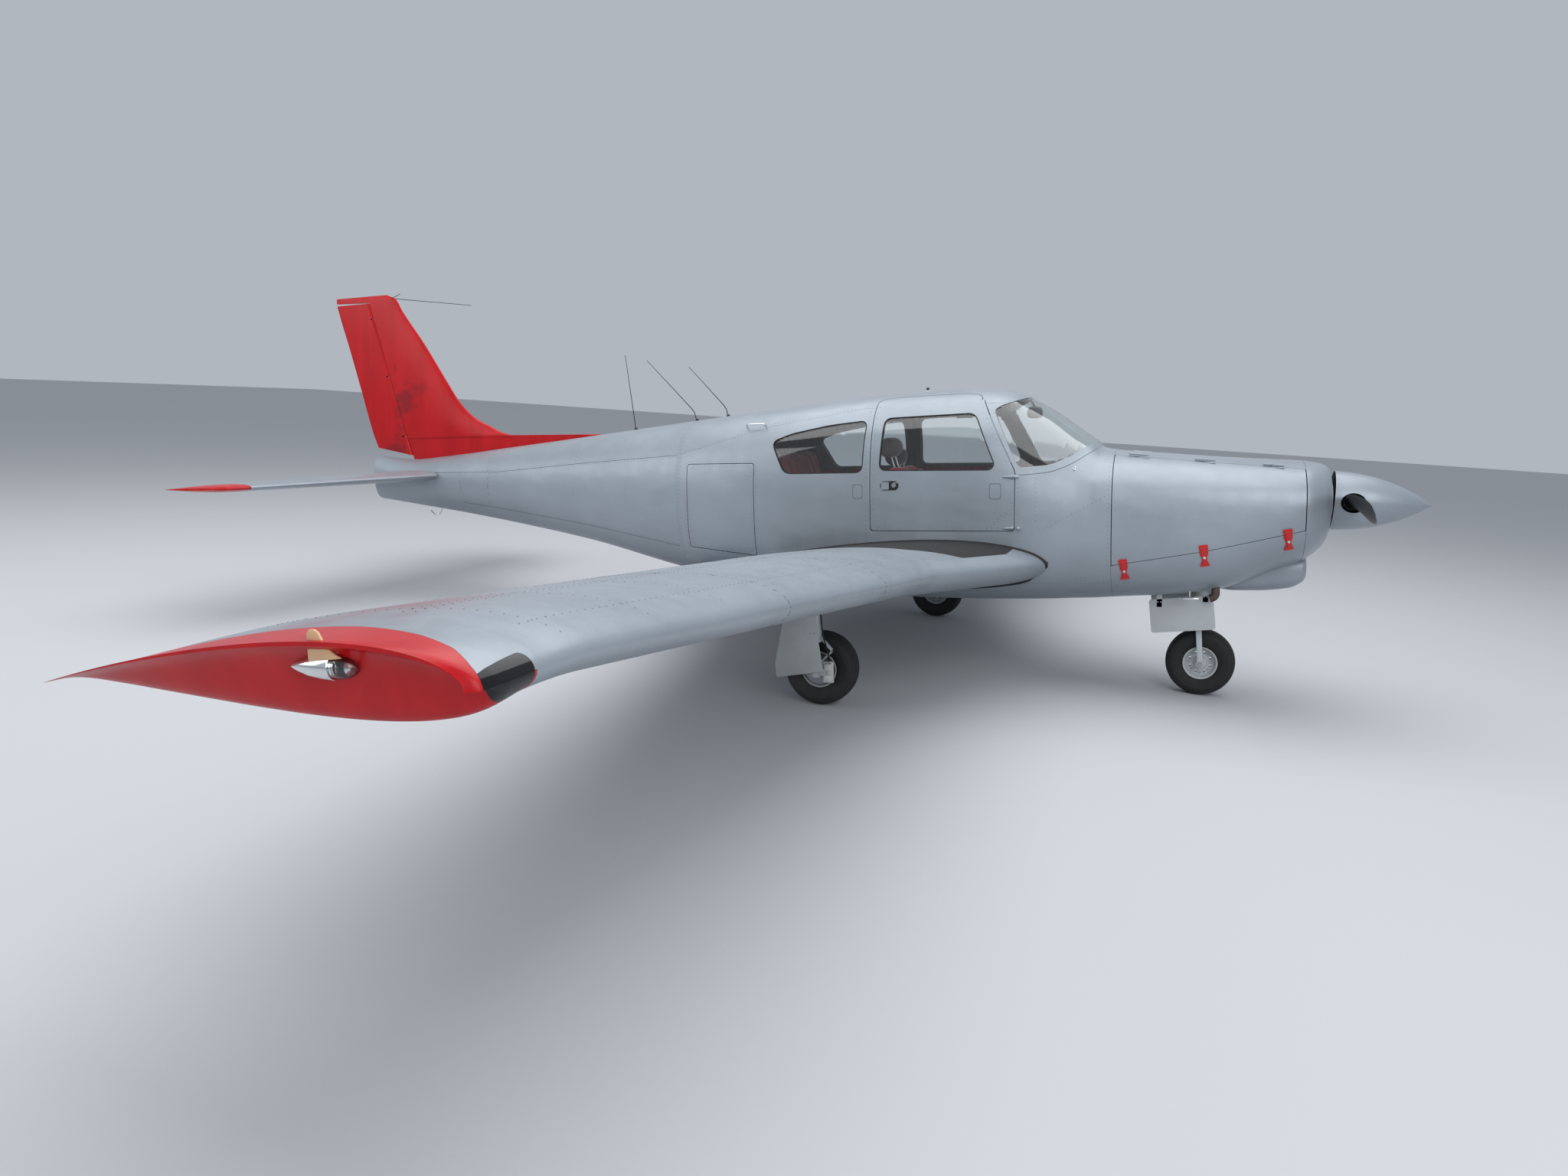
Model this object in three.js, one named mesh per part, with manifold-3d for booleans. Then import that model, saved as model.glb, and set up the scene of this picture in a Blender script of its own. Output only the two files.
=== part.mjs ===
// A low-wing, single-engined light aircraft with retractable gear, parked on its wheels.
// Millimetres. In the build frame +X points to the nose, +Y to the left wing tip and +Z up,
// square to the fuselage datum. The last lines tip the aircraft to its parked attitude,
// nose up, and put the origin on the ground under the middle of its box.
import * as THREE from "three";
import { mergeVertices } from "three/addons/utils/BufferGeometryUtils.js";
import Module from "manifold-3d";

const wasm = await Module();
wasm.setup();

// Driving dimensions
const PARKED_NOSE_UP = THREE.MathUtils.degToRad(5.3113);
const SKIN = 45; // outer skin to inner lining of the cabin walls and the cabin door
const FLOOR_TOP = 770;
const COWL_SKIN = 18;
const GLASS = 5;
const SHEET = 12; // walls of the hollow wing, tailplane and rear body, skin and frames as one
const FIT = 0.3; // gap between fixed pieces that touch
const RUN = 6; // gap round pieces that move
const KNUCKLE = 0.5; // end play between hinge knuckles
const DOOR_GAP = 9; // round the cabin and baggage doors
const DOOR_SKIN = 5; // the doors' edges are this thin
const DOOR_TOP_Y = 300; // the cabin door reaches round the shoulder of the roof to here

const FIREWALL_X = -484;
const BULKHEAD_X = -3240;
const BOWL_X = 548; // seam between nose bowl and cowling
const TAIL_X = -6050;

const TYRE_RADIUS = 204;
const TYRE_HALF_WIDTH = 78;
const RIM_RADIUS = 99;
const AXLE_RADIUS = 20;
const ROUND = 24; // sides of a wheel
const TRACK_HALF = 1467;
const WHEELBASE = 1965.5;

const HALF_SPAN = 5486;
const WING_ROOT_Y = 400;
const GLOVE = { y: 1870, reach: 437 }; // inboard of y the leading edge sweeps forward by reach
const TIP_CAP_Y = 5300;
const LE_X = -1235;
const TE_ROOT_X = -3260; // trailing edge line carried on to the centreline
const TE_SLOPE = 0.174; // the trailing edge sweeps forward towards the tip
const LE_Z = 781.5; // leading edge line carried on to the centreline
const DIHEDRAL = Math.tan(THREE.MathUtils.degToRad(5));
const WASH = Math.sin(THREE.MathUtils.degToRad(2)); // incidence
const THICKNESS = 0.15;
const CAMBER = 0.015;
const HINGE_CHORD = 0.74; // flap and aileron hinge line as a share of the chord
const FLAP_IN_Y = 640;
const FLAP_OUT_Y = 3060;
const AILERON_OUT_Y = 5020;

const SPINNER = { base: [711, 1186], tip: [1222, 1152], radius: 170 };
const PROP_RADIUS = 965;

// Body stations: x, half width, bottom, height of the widest line, top, and how square the
// upper and lower quarters are (2 is an ellipse).
const BODY = [
  [692, 232, 1012, 1190, 1362, 2.3, 2.3],
  [677, 296, 962, 1186, 1385, 2.3, 2.3],
  [640, 362, 905, 1178, 1402, 2.4, 2.3],
  [548, 430, 838, 1160, 1418, 2.5, 2.4],
  [400, 456, 775, 1145, 1428, 2.6, 2.4],
  [130, 490, 670, 1128, 1447, 2.7, 2.6],
  [-150, 512, 632, 1115, 1472, 2.8, 2.8],
  [-484, 535, 612, 1105, 1504, 2.8, 3.0],
  [-560, 543, 606, 1105, 1520, 2.65, 3.0],
  [-605, 548, 603, 1105, 1568, 2.3, 3.0],
  [-700, 558, 600, 1105, 1640, 2.15, 3.0],
  [-850, 577, 594, 1105, 1750, 2.15, 3.1],
  [-990, 590, 590, 1105, 1830, 2.3, 3.1],
  [-1080, 594, 588, 1105, 1874, 2.5, 3.1],
  [-1180, 597, 586, 1105, 1894, 2.75, 3.1],
  [-1350, 599, 584, 1105, 1905, 2.95, 3.1],
  [-1600, 599, 584, 1108, 1901, 3.0, 3.1],
  [-1950, 596, 592, 1115, 1885, 3.0, 3.1],
  [-2350, 583, 614, 1130, 1852, 2.9, 3.0],
  [-2700, 562, 645, 1150, 1821, 2.8, 2.9],
  [-3240, 508, 722, 1195, 1768, 2.65, 2.8],
  [-4100, 388, 925, 1282, 1682, 2.5, 2.6],
  [-4850, 272, 1062, 1340, 1611, 2.4, 2.5],
  [-5400, 190, 1148, 1370, 1560, 2.4, 2.4],
  [-5700, 147, 1190, 1382, 1541, 2.4, 2.4],
  [-6050, 100, 1240, 1405, 1584, 2.4, 2.4],
];

// Outlines of the cut-outs, seen from the side: x, z. The cabin door's ends above the roof.
const CABIN_DOOR = [
  [-1897, 1056], [-1026, 1056], [-1026, 1400], [-1250, 1851], [-1250, 2000], [-1897, 2000],
];
const DOOR_WINDOW = [
  [-1845, 1418], [-1165, 1411], [-1140, 1445], [-1271, 1752], [-1829, 1737],
];
const REAR_WINDOW = [
  [-2469, 1406], [-1948, 1407], [-1935, 1728], [-2189, 1704], [-2432, 1660], [-2570, 1611],
];
const WINDSHIELD = [
  [-1011, 1417], [-832, 1430], [-732, 1469], [-596, 1555], [-560, 1700], [-850, 1900],
  [-1002, 1838], [-1178, 1774],
];
const BAGGAGE_DOOR = [[-3168, 935], [-2681, 885], [-2681, 1475], [-3168, 1475]];
const ROOF_SEAM = [[-1240, 1806], [-1960, 1800], [-2600, 1705], [-3241, 1540]];
const BELLY_SEAM = [[-483, 735], [-2000, 735], [-2731, 838], [-3241, 893]];
const COWL_PART_LINE = [[-484, 846], [19, 930], [548, 1046]]; // side doors above, tray below
const COWL_HINGE_Y = 275;

const PAINT = { color: 0x6f7981, roughness: 0.42, metalness: 0.55 };
const RED = { color: 0xb3161a, roughness: 0.35, metalness: 0 };
const DARK = { color: 0x26282b, roughness: 0.6, metalness: 0.1 };
const RUBBER = { color: 0x141416, roughness: 0.85, metalness: 0 };
const WHEEL_GREY = { color: 0xb9bec0, roughness: 0.5, metalness: 0.3 };
const STEEL = { color: 0x9aa0a4, roughness: 0.35, metalness: 0.9 };
const CLEAR = { color: 0xb8c4c4, roughness: 0.05, metalness: 0, transparent: true, opacity: 0.3 };
const SEAT = { color: 0x7c1420, roughness: 0.55, metalness: 0 };

const aircraft = new THREE.Group();
const BIG = 9000;

// Solids from three.js geometry, joined and cut with manifold-3d
function solid(geometry) {
  const bare = geometry.clone();
  bare.deleteAttribute("normal");
  bare.deleteAttribute("uv");
  const merged = mergeVertices(bare, 1e-3);
  const index = [...merged.index.array];
  const faces = [];
  for (let i = 0; i < index.length; i += 3) {
    const [a, b, c] = index.slice(i, i + 3);
    if (a !== b && b !== c && c !== a) faces.push(a, b, c);
  }
  const make = (list) =>
    new wasm.Manifold(
      new wasm.Mesh({
        numProp: 3,
        vertProperties: new Float32Array(merged.attributes.position.array),
        triVerts: new Uint32Array(list),
      }),
    );
  const made = make(faces);
  return made.volume() < 0 ? make(faces.reverse()) : made;
}

function add(name, shape, look) {
  const { vertProperties, triVerts } = shape.getMesh();
  const geometry = new THREE.BufferGeometry();
  geometry.setAttribute("position", new THREE.BufferAttribute(vertProperties, 3));
  geometry.setIndex(new THREE.BufferAttribute(triVerts, 1));
  geometry.computeVertexNormals();
  const mesh = new THREE.Mesh(geometry, new THREE.MeshStandardMaterial(look));
  mesh.name = name;
  aircraft.add(mesh);
}

const union = (first, ...rest) => rest.reduce((sum, one) => sum.add(one), first);
const cut = (from, ...tools) => tools.reduce((left, one) => left.subtract(one), from);

// A solid through rings of [x, y, z] points, each ring with as many points as the next.
function loft(rings) {
  const count = rings[0].length;
  const points = rings.flat();
  const faces = [];
  for (let ring = 0; ring + 1 < rings.length; ring++)
    for (let i = 0; i < count; i++) {
      const a = ring * count + i;
      const b = ring * count + ((i + 1) % count);
      faces.push(a, b, a + count, b, b + count, a + count);
    }
  for (const [ring, flip] of [[0, true], [rings.length - 1, false]]) {
    const middle = points.length;
    const sum = rings[ring].reduce((s, p) => s.map((v, k) => v + p[k]), [0, 0, 0]);
    points.push(sum.map((v) => v / count));
    for (let i = 0; i < count; i++) {
      const a = ring * count + i;
      const b = ring * count + ((i + 1) % count);
      faces.push(middle, ...(flip ? [b, a] : [a, b]));
    }
  }
  const geometry = new THREE.BufferGeometry();
  geometry.setAttribute("position", new THREE.Float32BufferAttribute(points.flat(), 3));
  geometry.setIndex(faces);
  return solid(geometry);
}

// Prisms: an outline seen from the side, from above or from the front, swept between two planes
function sweep(outline, low, high, right, up, along) {
  const shape = new THREE.Shape(outline.map(([a, b]) => new THREE.Vector2(a, b)));
  const geometry = new THREE.ExtrudeGeometry(shape, { depth: high - low, bevelEnabled: false });
  geometry.translate(0, 0, low);
  geometry.applyMatrix4(new THREE.Matrix4().makeBasis(right, up, along));
  return solid(geometry);
}
const X = new THREE.Vector3(1, 0, 0);
const Y = new THREE.Vector3(0, 1, 0);
const Z = new THREE.Vector3(0, 0, 1);
const sidePrism = (outline, y0, y1) => sweep(outline, -y1, -y0, X, Z, new THREE.Vector3(0, -1, 0));
const planPrism = (outline, z0, z1) => sweep(outline, z0, z1, X, Y, Z);
const frontPrism = (outline, x0, x1) => sweep(outline, x0, x1, Y, Z, X);

function box(x0, x1, y0, y1, z0, z1) {
  const geometry = new THREE.BoxGeometry(x1 - x0, y1 - y0, z1 - z0);
  geometry.translate((x0 + x1) / 2, (y0 + y1) / 2, (z0 + z1) / 2);
  return solid(geometry);
}

// A round bar or cone from one point to another
function bar(from, to, radius, endRadius = radius, sides = 14) {
  const a = new THREE.Vector3(...from);
  const b = new THREE.Vector3(...to);
  const geometry = new THREE.CylinderGeometry(endRadius, radius, a.distanceTo(b), sides);
  const turn = new THREE.Quaternion().setFromUnitVectors(Y, b.clone().sub(a).normalize());
  geometry.applyQuaternion(turn);
  geometry.translate(...a.add(b).multiplyScalar(0.5).toArray());
  return solid(geometry);
}

// Moves every edge of a closed outline outwards by a distance, inwards if it is negative.
function grow(outline, distance) {
  const area = outline.reduce((s, [x, y], i) => {
    const [nx, ny] = outline[(i + 1) % outline.length];
    return s + x * ny - nx * y;
  }, 0);
  const side = Math.sign(area) * distance;
  const edges = outline.map(([x, y], i) => {
    const [nx, ny] = outline[(i + 1) % outline.length];
    const length = Math.hypot(nx - x, ny - y);
    const out = [(ny - y) / length, -(nx - x) / length];
    return { x: x + out[0] * side, y: y + out[1] * side, dx: nx - x, dy: ny - y };
  });
  return edges.map((edge, i) => {
    const last = edges[(i + edges.length - 1) % edges.length];
    const cross = last.dx * edge.dy - last.dy * edge.dx;
    const t = ((edge.x - last.x) * edge.dy - (edge.y - last.y) * edge.dx) / cross;
    return [last.x + last.dx * t, last.y + last.dy * t];
  });
}

// Body
const BODY_POINTS = 28;
const power = (value, n) => Math.sign(value) * Math.abs(value) ** (2 / n);

function station(x) {
  const after = BODY.findIndex((row) => row[0] <= x);
  if (after <= 0) return BODY[Math.max(after, 0)];
  const [front, rear] = [BODY[after - 1], BODY[after]];
  const share = (front[0] - x) / (front[0] - rear[0]);
  return front.map((value, i) => value + (rear[i] - value) * share);
}

function bodyRing(x, inset, lowest = -BIG) {
  const [, half, bottom, wide, top, nTop, nBottom] = station(x);
  const ring = [];
  for (let i = 0; i < BODY_POINTS; i++) {
    const turn = (2 * Math.PI * i) / BODY_POINTS;
    const [c, s] = [Math.cos(turn), Math.sin(turn)];
    const n = s >= 0 ? nTop : nBottom;
    const height = s >= 0 ? top - inset - wide : wide - bottom - inset;
    const z = wide + height * power(s, n);
    ring.push([x, (half - inset) * power(c, n), Math.max(z, lowest)]);
  }
  return ring;
}

function bodyLoft(front, rear, inset, lowest) {
  const between = BODY.map((row) => row[0]).filter((x) => x < front - 1 && x > rear + 1);
  return loft([front, ...between, rear].map((x) => bodyRing(x, inset, lowest)));
}

function skinZ(x, y) {
  const [, half, , wide, top, nTop] = station(x);
  return wide + (top - wide) * (1 - (Math.abs(y) / half) ** nTop) ** (1 / nTop);
}

const outside = bodyLoft(BODY[0][0], TAIL_X, 0);
const clearOfBody = bodyLoft(BODY[0][0], TAIL_X, -FIT);

// Cabin shell, split at the real seams
const cabinSkin = cut(
  bodyLoft(FIREWALL_X, BULKHEAD_X, 0),
  bodyLoft(FIREWALL_X + 1, BULKHEAD_X - 1, SKIN, FLOOR_TOP),
);
const glassSkin = cut(
  bodyLoft(FIREWALL_X, BULKHEAD_X, 0),
  bodyLoft(FIREWALL_X + 1, BULKHEAD_X - 1, GLASS),
);
const roofOutline = [...ROOF_SEAM, [-3241, 2100], [-480, 2100], [-480, 1806]];
const bellyOutline = [...BELLY_SEAM, [-3241, 400], [-483, 400]];
const frameCut = sidePrism(WINDSHIELD, -BIG, BIG);
const roofPiece = sidePrism(roofOutline, -BIG, BIG);
// The cabin floor is one piece with the belly.
const bellyPiece = (gap) =>
  union(
    sidePrism(grow(bellyOutline, gap), -BIG, BIG),
    bodyLoft(FIREWALL_X + 1, BULKHEAD_X - 1, SKIN - gap).intersect(
      box(-BIG, BIG, -BIG, BIG, 0, FLOOR_TOP + gap),
    ),
  );
const sides = cut(
  cabinSkin, sidePrism(grow(roofOutline, FIT), -BIG, BIG), bellyPiece(FIT), frameCut,
);

// A piano of three knuckles on an upright pin: the middle one and its leaf move.
function doorHinge(x, y, z, side, skinDepth) {
  const pin = 7;
  const step = 22;
  const piece = (low, high) => bar([x, y, low], [x, y, high], pin, pin, 10);
  const inner = y - side * skinDepth;
  const leaf = (x0, x1, low, high) =>
    box(x0, x1, Math.min(y + side * 3, inner), Math.max(y + side * 3, inner), low, high);
  const half = step / 2;
  return {
    moving: union(piece(z - half, z + half), leaf(x - 70, x, z - half, z + half)),
    fixed: [-1, 1].map((way) => {
      const near = z + way * (half + KNUCKLE);
      const far = near + way * 14;
      const [low, high] = [Math.min(near, far), Math.max(near, far)];
      return union(piece(low, high), leaf(x, x + 26, low, high));
    }),
  };
}

const doorPin = (edgeX) => [edgeX + 2, -(station(edgeX)[1] + 9)];
const cabinHinges = [1080, 1372].map((z) => doorHinge(...doorPin(-1026), z, -1, 45));
const baggageHinges = [960, 1380].map((z) => doorHinge(...doorPin(-2681), z, -1, 50));

const doorway = (outline, topY) => sidePrism(grow(outline, DOOR_GAP), -BIG, DOOR_GAP - topY);
const cabinDoorway = doorway(CABIN_DOOR, DOOR_TOP_Y);

// A door is its outer skin and, set back from the edges so that it swings clear of the frame,
// its inner lining and structure.
const doorSkin = cut(cabinSkin, bodyLoft(FIREWALL_X + 1, BULKHEAD_X - 1, DOOR_SKIN));
const doorLeaf = (outline, topY, setBack) =>
  union(
    doorSkin.intersect(sidePrism(outline, -BIG, -topY)),
    cabinSkin.intersect(sidePrism(grow(outline, -setBack), -BIG, -topY - setBack)),
  );

function sidePanel(side) {
  const [low, high] = side < 0 ? [-BIG, -FIT / 2] : [FIT / 2, BIG];
  let panel = sides.intersect(box(-4000, 0, low, high, 0, 3000));
  panel = cut(panel, sidePrism(REAR_WINDOW, low, high));
  if (side > 0) return cut(panel, sidePrism(DOOR_WINDOW, low, high));
  panel = cut(panel, cabinDoorway, doorway(BAGGAGE_DOOR, 0));
  return union(panel, ...cabinHinges.flatMap((h) => h.fixed), ...baggageHinges.flatMap((h) => h.fixed));
}

const pane = (outline, side) =>
  glassSkin
    .intersect(sidePrism(grow(outline, -FIT), -BIG, BIG))
    .intersect(side < 0 ? box(-BIG, BIG, -BIG, -100, 0, BIG) : box(-BIG, BIG, 100, BIG, 0, BIG));

add("roof_panel", cut(cabinSkin.intersect(roofPiece), frameCut, cabinDoorway), PAINT);
add("belly_panel", cabinSkin.intersect(bellyPiece(0)), PAINT);
add("side_panel_left", sidePanel(1), PAINT);
add("side_panel_right", sidePanel(-1), PAINT);
add("windshield", glassSkin.intersect(sidePrism(grow(WINDSHIELD, -FIT), -BIG, BIG)), CLEAR);
add("window_left_front", pane(DOOR_WINDOW, 1), CLEAR);
add("window_left_rear", pane(REAR_WINDOW, 1), CLEAR);
add("window_right_rear", pane(REAR_WINDOW, -1), CLEAR);
add("firewall", bodyLoft(FIREWALL_X - 2, FIREWALL_X - 14, SKIN + 4 * FIT, FLOOR_TOP + FIT), STEEL);

const door = cut(doorLeaf(CABIN_DOOR, DOOR_TOP_Y, 30), sidePrism(DOOR_WINDOW, -BIG, 0));
add("cabin_door", union(door, ...cabinHinges.map((h) => h.moving)), PAINT);
add("door_window", pane(DOOR_WINDOW, -1), CLEAR);
const hatch = doorLeaf(BAGGAGE_DOOR, 100, 10);
add("baggage_door", union(hatch, ...baggageHinges.map((h) => h.moving)), PAINT);

// Cowling: a nose bowl, a fixed top, a lower tray with the chin scoop, and two side doors
const cowlSkin = cut(
  bodyLoft(BOWL_X - FIT, FIREWALL_X + FIT, 0),
  bodyLoft(BOWL_X, FIREWALL_X - 1, COWL_SKIN),
);
const hingeZ = [FIREWALL_X, BOWL_X].map((x) => skinZ(x, COWL_HINGE_Y));
const partLine = (offset) => COWL_PART_LINE.map(([x, z]) => [x, z + offset]);
const trayZone = [...partLine(0), [700, 1046], [700, 300], [-600, 300], [-600, 846]];
const trayPrism = sidePrism(trayZone, -BIG, BIG);
const topPrism = box(-600, 700, -COWL_HINGE_Y, COWL_HINGE_Y, 1200, 2000);

// The chin scoop: x, half width, bottom, top
const CHIN = [
  [579, 150, 735, 868],
  [565, 168, 712, 880],
  [490, 178, 674, 880],
  [330, 172, 656, 860],
  [190, 140, 654, 760],
  [120, 90, 662, 700],
];
function chinLoft(inset, front) {
  return loft(
    CHIN.map(([x, half, bottom, top], i) => {
      const ring = [];
      for (let k = 0; k < 20; k++) {
        const turn = (2 * Math.PI * k) / 20;
        const middle = (bottom + top) / 2;
        ring.push([
          i === 0 ? x + front : x,
          (half - inset) * power(Math.cos(turn), 3),
          middle + (middle - bottom - inset) * power(Math.sin(turn), 3),
        ]);
      }
      return ring;
    }),
  );
}
const chin = cut(
  chinLoft(0, 0),
  chinLoft(14, 5).intersect(box(300, 700, -300, 300, 0, BIG)),
  bodyLoft(BODY[0][0], BOWL_X - 1, -1),
);
const engineBay = bodyLoft(BOWL_X, FIREWALL_X - 1, COWL_SKIN);

// The nose wheel well is a slot in the tray between the two gear doors.
const NOSE_WELL = { x0: -300, x1: 112, half: 176 };
const noseWell = box(NOSE_WELL.x0, NOSE_WELL.x1, -NOSE_WELL.half, NOSE_WELL.half, 300, 800);
const tray = cut(
  union(cowlSkin.intersect(trayPrism), cut(chin, engineBay)),
  noseWell,
);
add("cowl_lower", tray.intersect(box(-BIG, BOWL_X + 40, -BIG, BIG, 0, BIG)), PAINT);

// Side doors hang from a straight pin along the top edge.
const COWL_PIN_LIFT = 12;
const cowlPin = [
  [BOWL_X - 12, hingeZ[1] + COWL_PIN_LIFT],
  [FIREWALL_X + 12, hingeZ[0] + COWL_PIN_LIFT],
];
const doorZone = cut(
  cowlSkin,
  sidePrism([...partLine(RUN), [700, 1046 + RUN], [700, 300], [-600, 300], [-600, 846 + RUN]], -BIG, BIG),
  box(-600, 700, -COWL_HINGE_Y - RUN, COWL_HINGE_Y + RUN, 1200, 2000),
).intersect(box(FIREWALL_X + RUN, BOWL_X - RUN - 2, -BIG, BIG, 0, BIG));
function cowlHinge(side, from, to, wide) {
  const at = (share) => {
    const [[x0, z0], [x1, z1]] = cowlPin;
    return [x0 + (x1 - x0) * share, side * (COWL_HINGE_Y + 2), z0 + (z1 - z0) * share];
  };
  const knuckle = bar(at(from), at(to), 6, 6, 10);
  const [a, b] = [at(from), at(to)];
  const low = Math.min(a[2], b[2]);
  const [y0, y1] = wide ? [0, 34] : [-30, 0];
  const ys = [side * (COWL_HINGE_Y + 2 + y0), side * (COWL_HINGE_Y + 2 + y1)];
  const leaf = box(b[0], a[0], Math.min(...ys), Math.max(...ys), low - 32, low + 4);
  return union(knuckle, leaf);
}
const COWL_KNUCKLES = [[0.1, 0.16], [0.46, 0.52], [0.82, 0.88]];
const KNUCKLE_SHARE = 1.2 / (BOWL_X - FIREWALL_X);
for (const [name, side] of [["left", 1], ["right", -1]]) {
  const half = side > 0 ? box(-BIG, BIG, 0, BIG, 0, BIG) : box(-BIG, BIG, -BIG, 0, 0, BIG);
  const leaves = COWL_KNUCKLES.map(([a, b]) => cowlHinge(side, a, b, true));
  add("cowl_door_" + name, union(doorZone.intersect(half), ...leaves), PAINT);
}
// The fixed knuckles stand beside the moving ones on the top cowl.
const fixedKnuckles = [1, -1].flatMap((side) =>
  COWL_KNUCKLES.map(([, b]) => cowlHinge(side, b + KNUCKLE_SHARE, b + 0.05, false)),
);
add("cowl_top", union(cowlSkin.intersect(topPrism), ...fixedKnuckles), PAINT);

// The nose bowl has a cheek inlet each side of the spinner.
const bowlSkin = cut(
  bodyLoft(BODY[0][0], BOWL_X, 0),
  bodyLoft(BODY[1][0] - 6, BOWL_X - 1, COWL_SKIN),
);
const inlet = (side) =>
  frontPrism(
    [[105, 1120], [185, 1105], [228, 1160], [228, 1235], [190, 1290], [110, 1285]].map(([y, z]) => [
      side * y, z,
    ]),
    600, 720,
  );
const shaftHole = bar([600, 0, 1194], [720, 0, 1185], 70, 70, 18);
add("nose_bowl", cut(bowlSkin, inlet(1), inlet(-1), shaftHole), PAINT);

// Engine: one plain block on the firewall with its output shaft
const thrust = new THREE.Vector3(
  SPINNER.tip[0] - SPINNER.base[0], 0, SPINNER.tip[1] - SPINNER.base[1],
).normalize();
const onThrust = (x) => {
  const t = (x - SPINNER.base[0]) / thrust.x;
  return [x, 0, SPINNER.base[1] + thrust.z * t];
};
const engine = union(
  box(-300, 400, -330, 330, 900, 1290),
  box(FIREWALL_X - 2 + FIT, -299, -120, 120, 1000, 1200),
  bar(onThrust(390), onThrust(640), 52, 52, 20),
);
add("engine_block", engine, DARK);

// Propeller and spinner
const PROP_X = 807;
const hubAt = onThrust(PROP_X);
// Blade stations: distance from the hub centre, chord, thickness, pitch in degrees
const BLADE = [
  [60, 74, 74, 60],
  [120, 76, 62, 55],
  [190, 118, 40, 46],
  [320, 150, 26, 37],
  [520, 158, 18, 28],
  [720, 148, 12, 22],
  [880, 118, 9, 19],
  [950, 78, 7, 18],
  [PROP_RADIUS, 36, 5, 18],
];
function blade(side) {
  return loft(
    BLADE.map(([r, chord, thick, pitch]) => {
      const angle = THREE.MathUtils.degToRad(pitch);
      const ring = [];
      for (let k = 0; k < 10; k++) {
        const turn = (2 * Math.PI * k) / 10;
        const along = (chord / 2) * Math.cos(turn);
        const deep = (thick / 2) * Math.sin(turn);
        ring.push([
          hubAt[0] + along * Math.sin(angle) + deep * Math.cos(angle),
          side * r,
          hubAt[2] + side * (along * Math.cos(angle) - deep * Math.sin(angle)),
        ]);
      }
      return ring;
    }),
  );
}
const hub = (extra) => [
  bar(onThrust(640 + KNUCKLE - extra), onThrust(880 + extra), 62 + extra, 62 + extra, 18),
  bar([hubAt[0], -92 - extra, hubAt[2]], [hubAt[0], 92 + extra, hubAt[2]], 46 + extra, 46 + extra, 14),
];
add("propeller", union(...hub(0), blade(1), blade(-1)), DARK);
const SPINNER_PROFILE = [
  [0, 1], [0.15, 0.975], [0.38, 0.87], [0.6, 0.67], [0.8, 0.4], [0.95, 0.12],
];
const spinnerLength = Math.hypot(
  SPINNER.tip[0] - SPINNER.base[0], SPINNER.tip[1] - SPINNER.base[1],
);
const spinnerGeometry = new THREE.LatheGeometry(
  [
    new THREE.Vector2(0, 0),
    ...SPINNER_PROFILE.map(([t, r]) => new THREE.Vector2(r * SPINNER.radius, t * spinnerLength)),
    new THREE.Vector2(0, spinnerLength),
  ],
  28,
);
spinnerGeometry.applyQuaternion(new THREE.Quaternion().setFromUnitVectors(Y, thrust));
spinnerGeometry.translate(SPINNER.base[0], 0, SPINNER.base[1]);
const bladeHole = bar([PROP_X, -300, hubAt[2]], [PROP_X, 300, hubAt[2]], 56, 56, 18);
add("spinner", cut(solid(spinnerGeometry), bladeHole, ...hub(FIT)), PAINT);

// Wing
const teX = (y) => TE_ROOT_X + TE_SLOPE * Math.abs(y);
const leZ = (y) => LE_Z + DIHEDRAL * Math.abs(y);
const SECTION = [0, 0.015, 0.06, 0.16, 0.35, 0.56, HINGE_CHORD, 1];
const halfThick = (s) =>
  5 * (0.2969 * Math.sqrt(s) - 0.126 * s - 0.3516 * s ** 2 + 0.2843 * s ** 3 - 0.1015 * s ** 4);

// One wing section: y, where the leading edge is, how far the lower side is raised and how far
// the trailing edge runs aft of its line (both on the tip caps)
function wingRing(y, noseX = LE_X, raise = 0, spike = 0) {
  const main = LE_X - teX(y);
  const chord = noseX - teX(y) + spike;
  const point = (s, up) => {
    const x = noseX - s * chord;
    const mid = leZ(y) - WASH * (LE_X - x) + 4 * CAMBER * s * (1 - s) * main;
    const half = Math.max(halfThick(s) * THICKNESS * main, s === 1 ? 1.5 : 0);
    return [x, y, mid + (up ? half : -half * (1 - raise) + half * raise * 0.6)];
  };
  const upper = SECTION.slice(1).map((s) => point(s, true));
  const lower = SECTION.slice(1).reverse().map((s) => point(s, false));
  return [point(0, true), ...upper, ...lower];
}
// The hollow between the skins, ahead of the rear spar
function hollowRing(y, noseX) {
  const ring = wingRing(y, noseX);
  const last = SECTION.indexOf(HINGE_CHORD) - 1;
  const upper = ring.slice(1, last + 1).map(([x, , z]) => [x, y, z - SHEET]);
  const lower = ring.slice(ring.length - last).map(([x, , z]) => [x, y, z + SHEET]);
  return [...upper, ...lower];
}
// Wing stations: y, leading edge
const noseAt = (y) =>
  LE_X + (GLOVE.reach * Math.max(0, GLOVE.y - Math.abs(y))) / (GLOVE.y - WING_ROOT_Y);
const WING = [WING_ROOT_Y, GLOVE.y, TIP_CAP_Y - FIT].map((y) => [y, noseAt(y)]);

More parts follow.
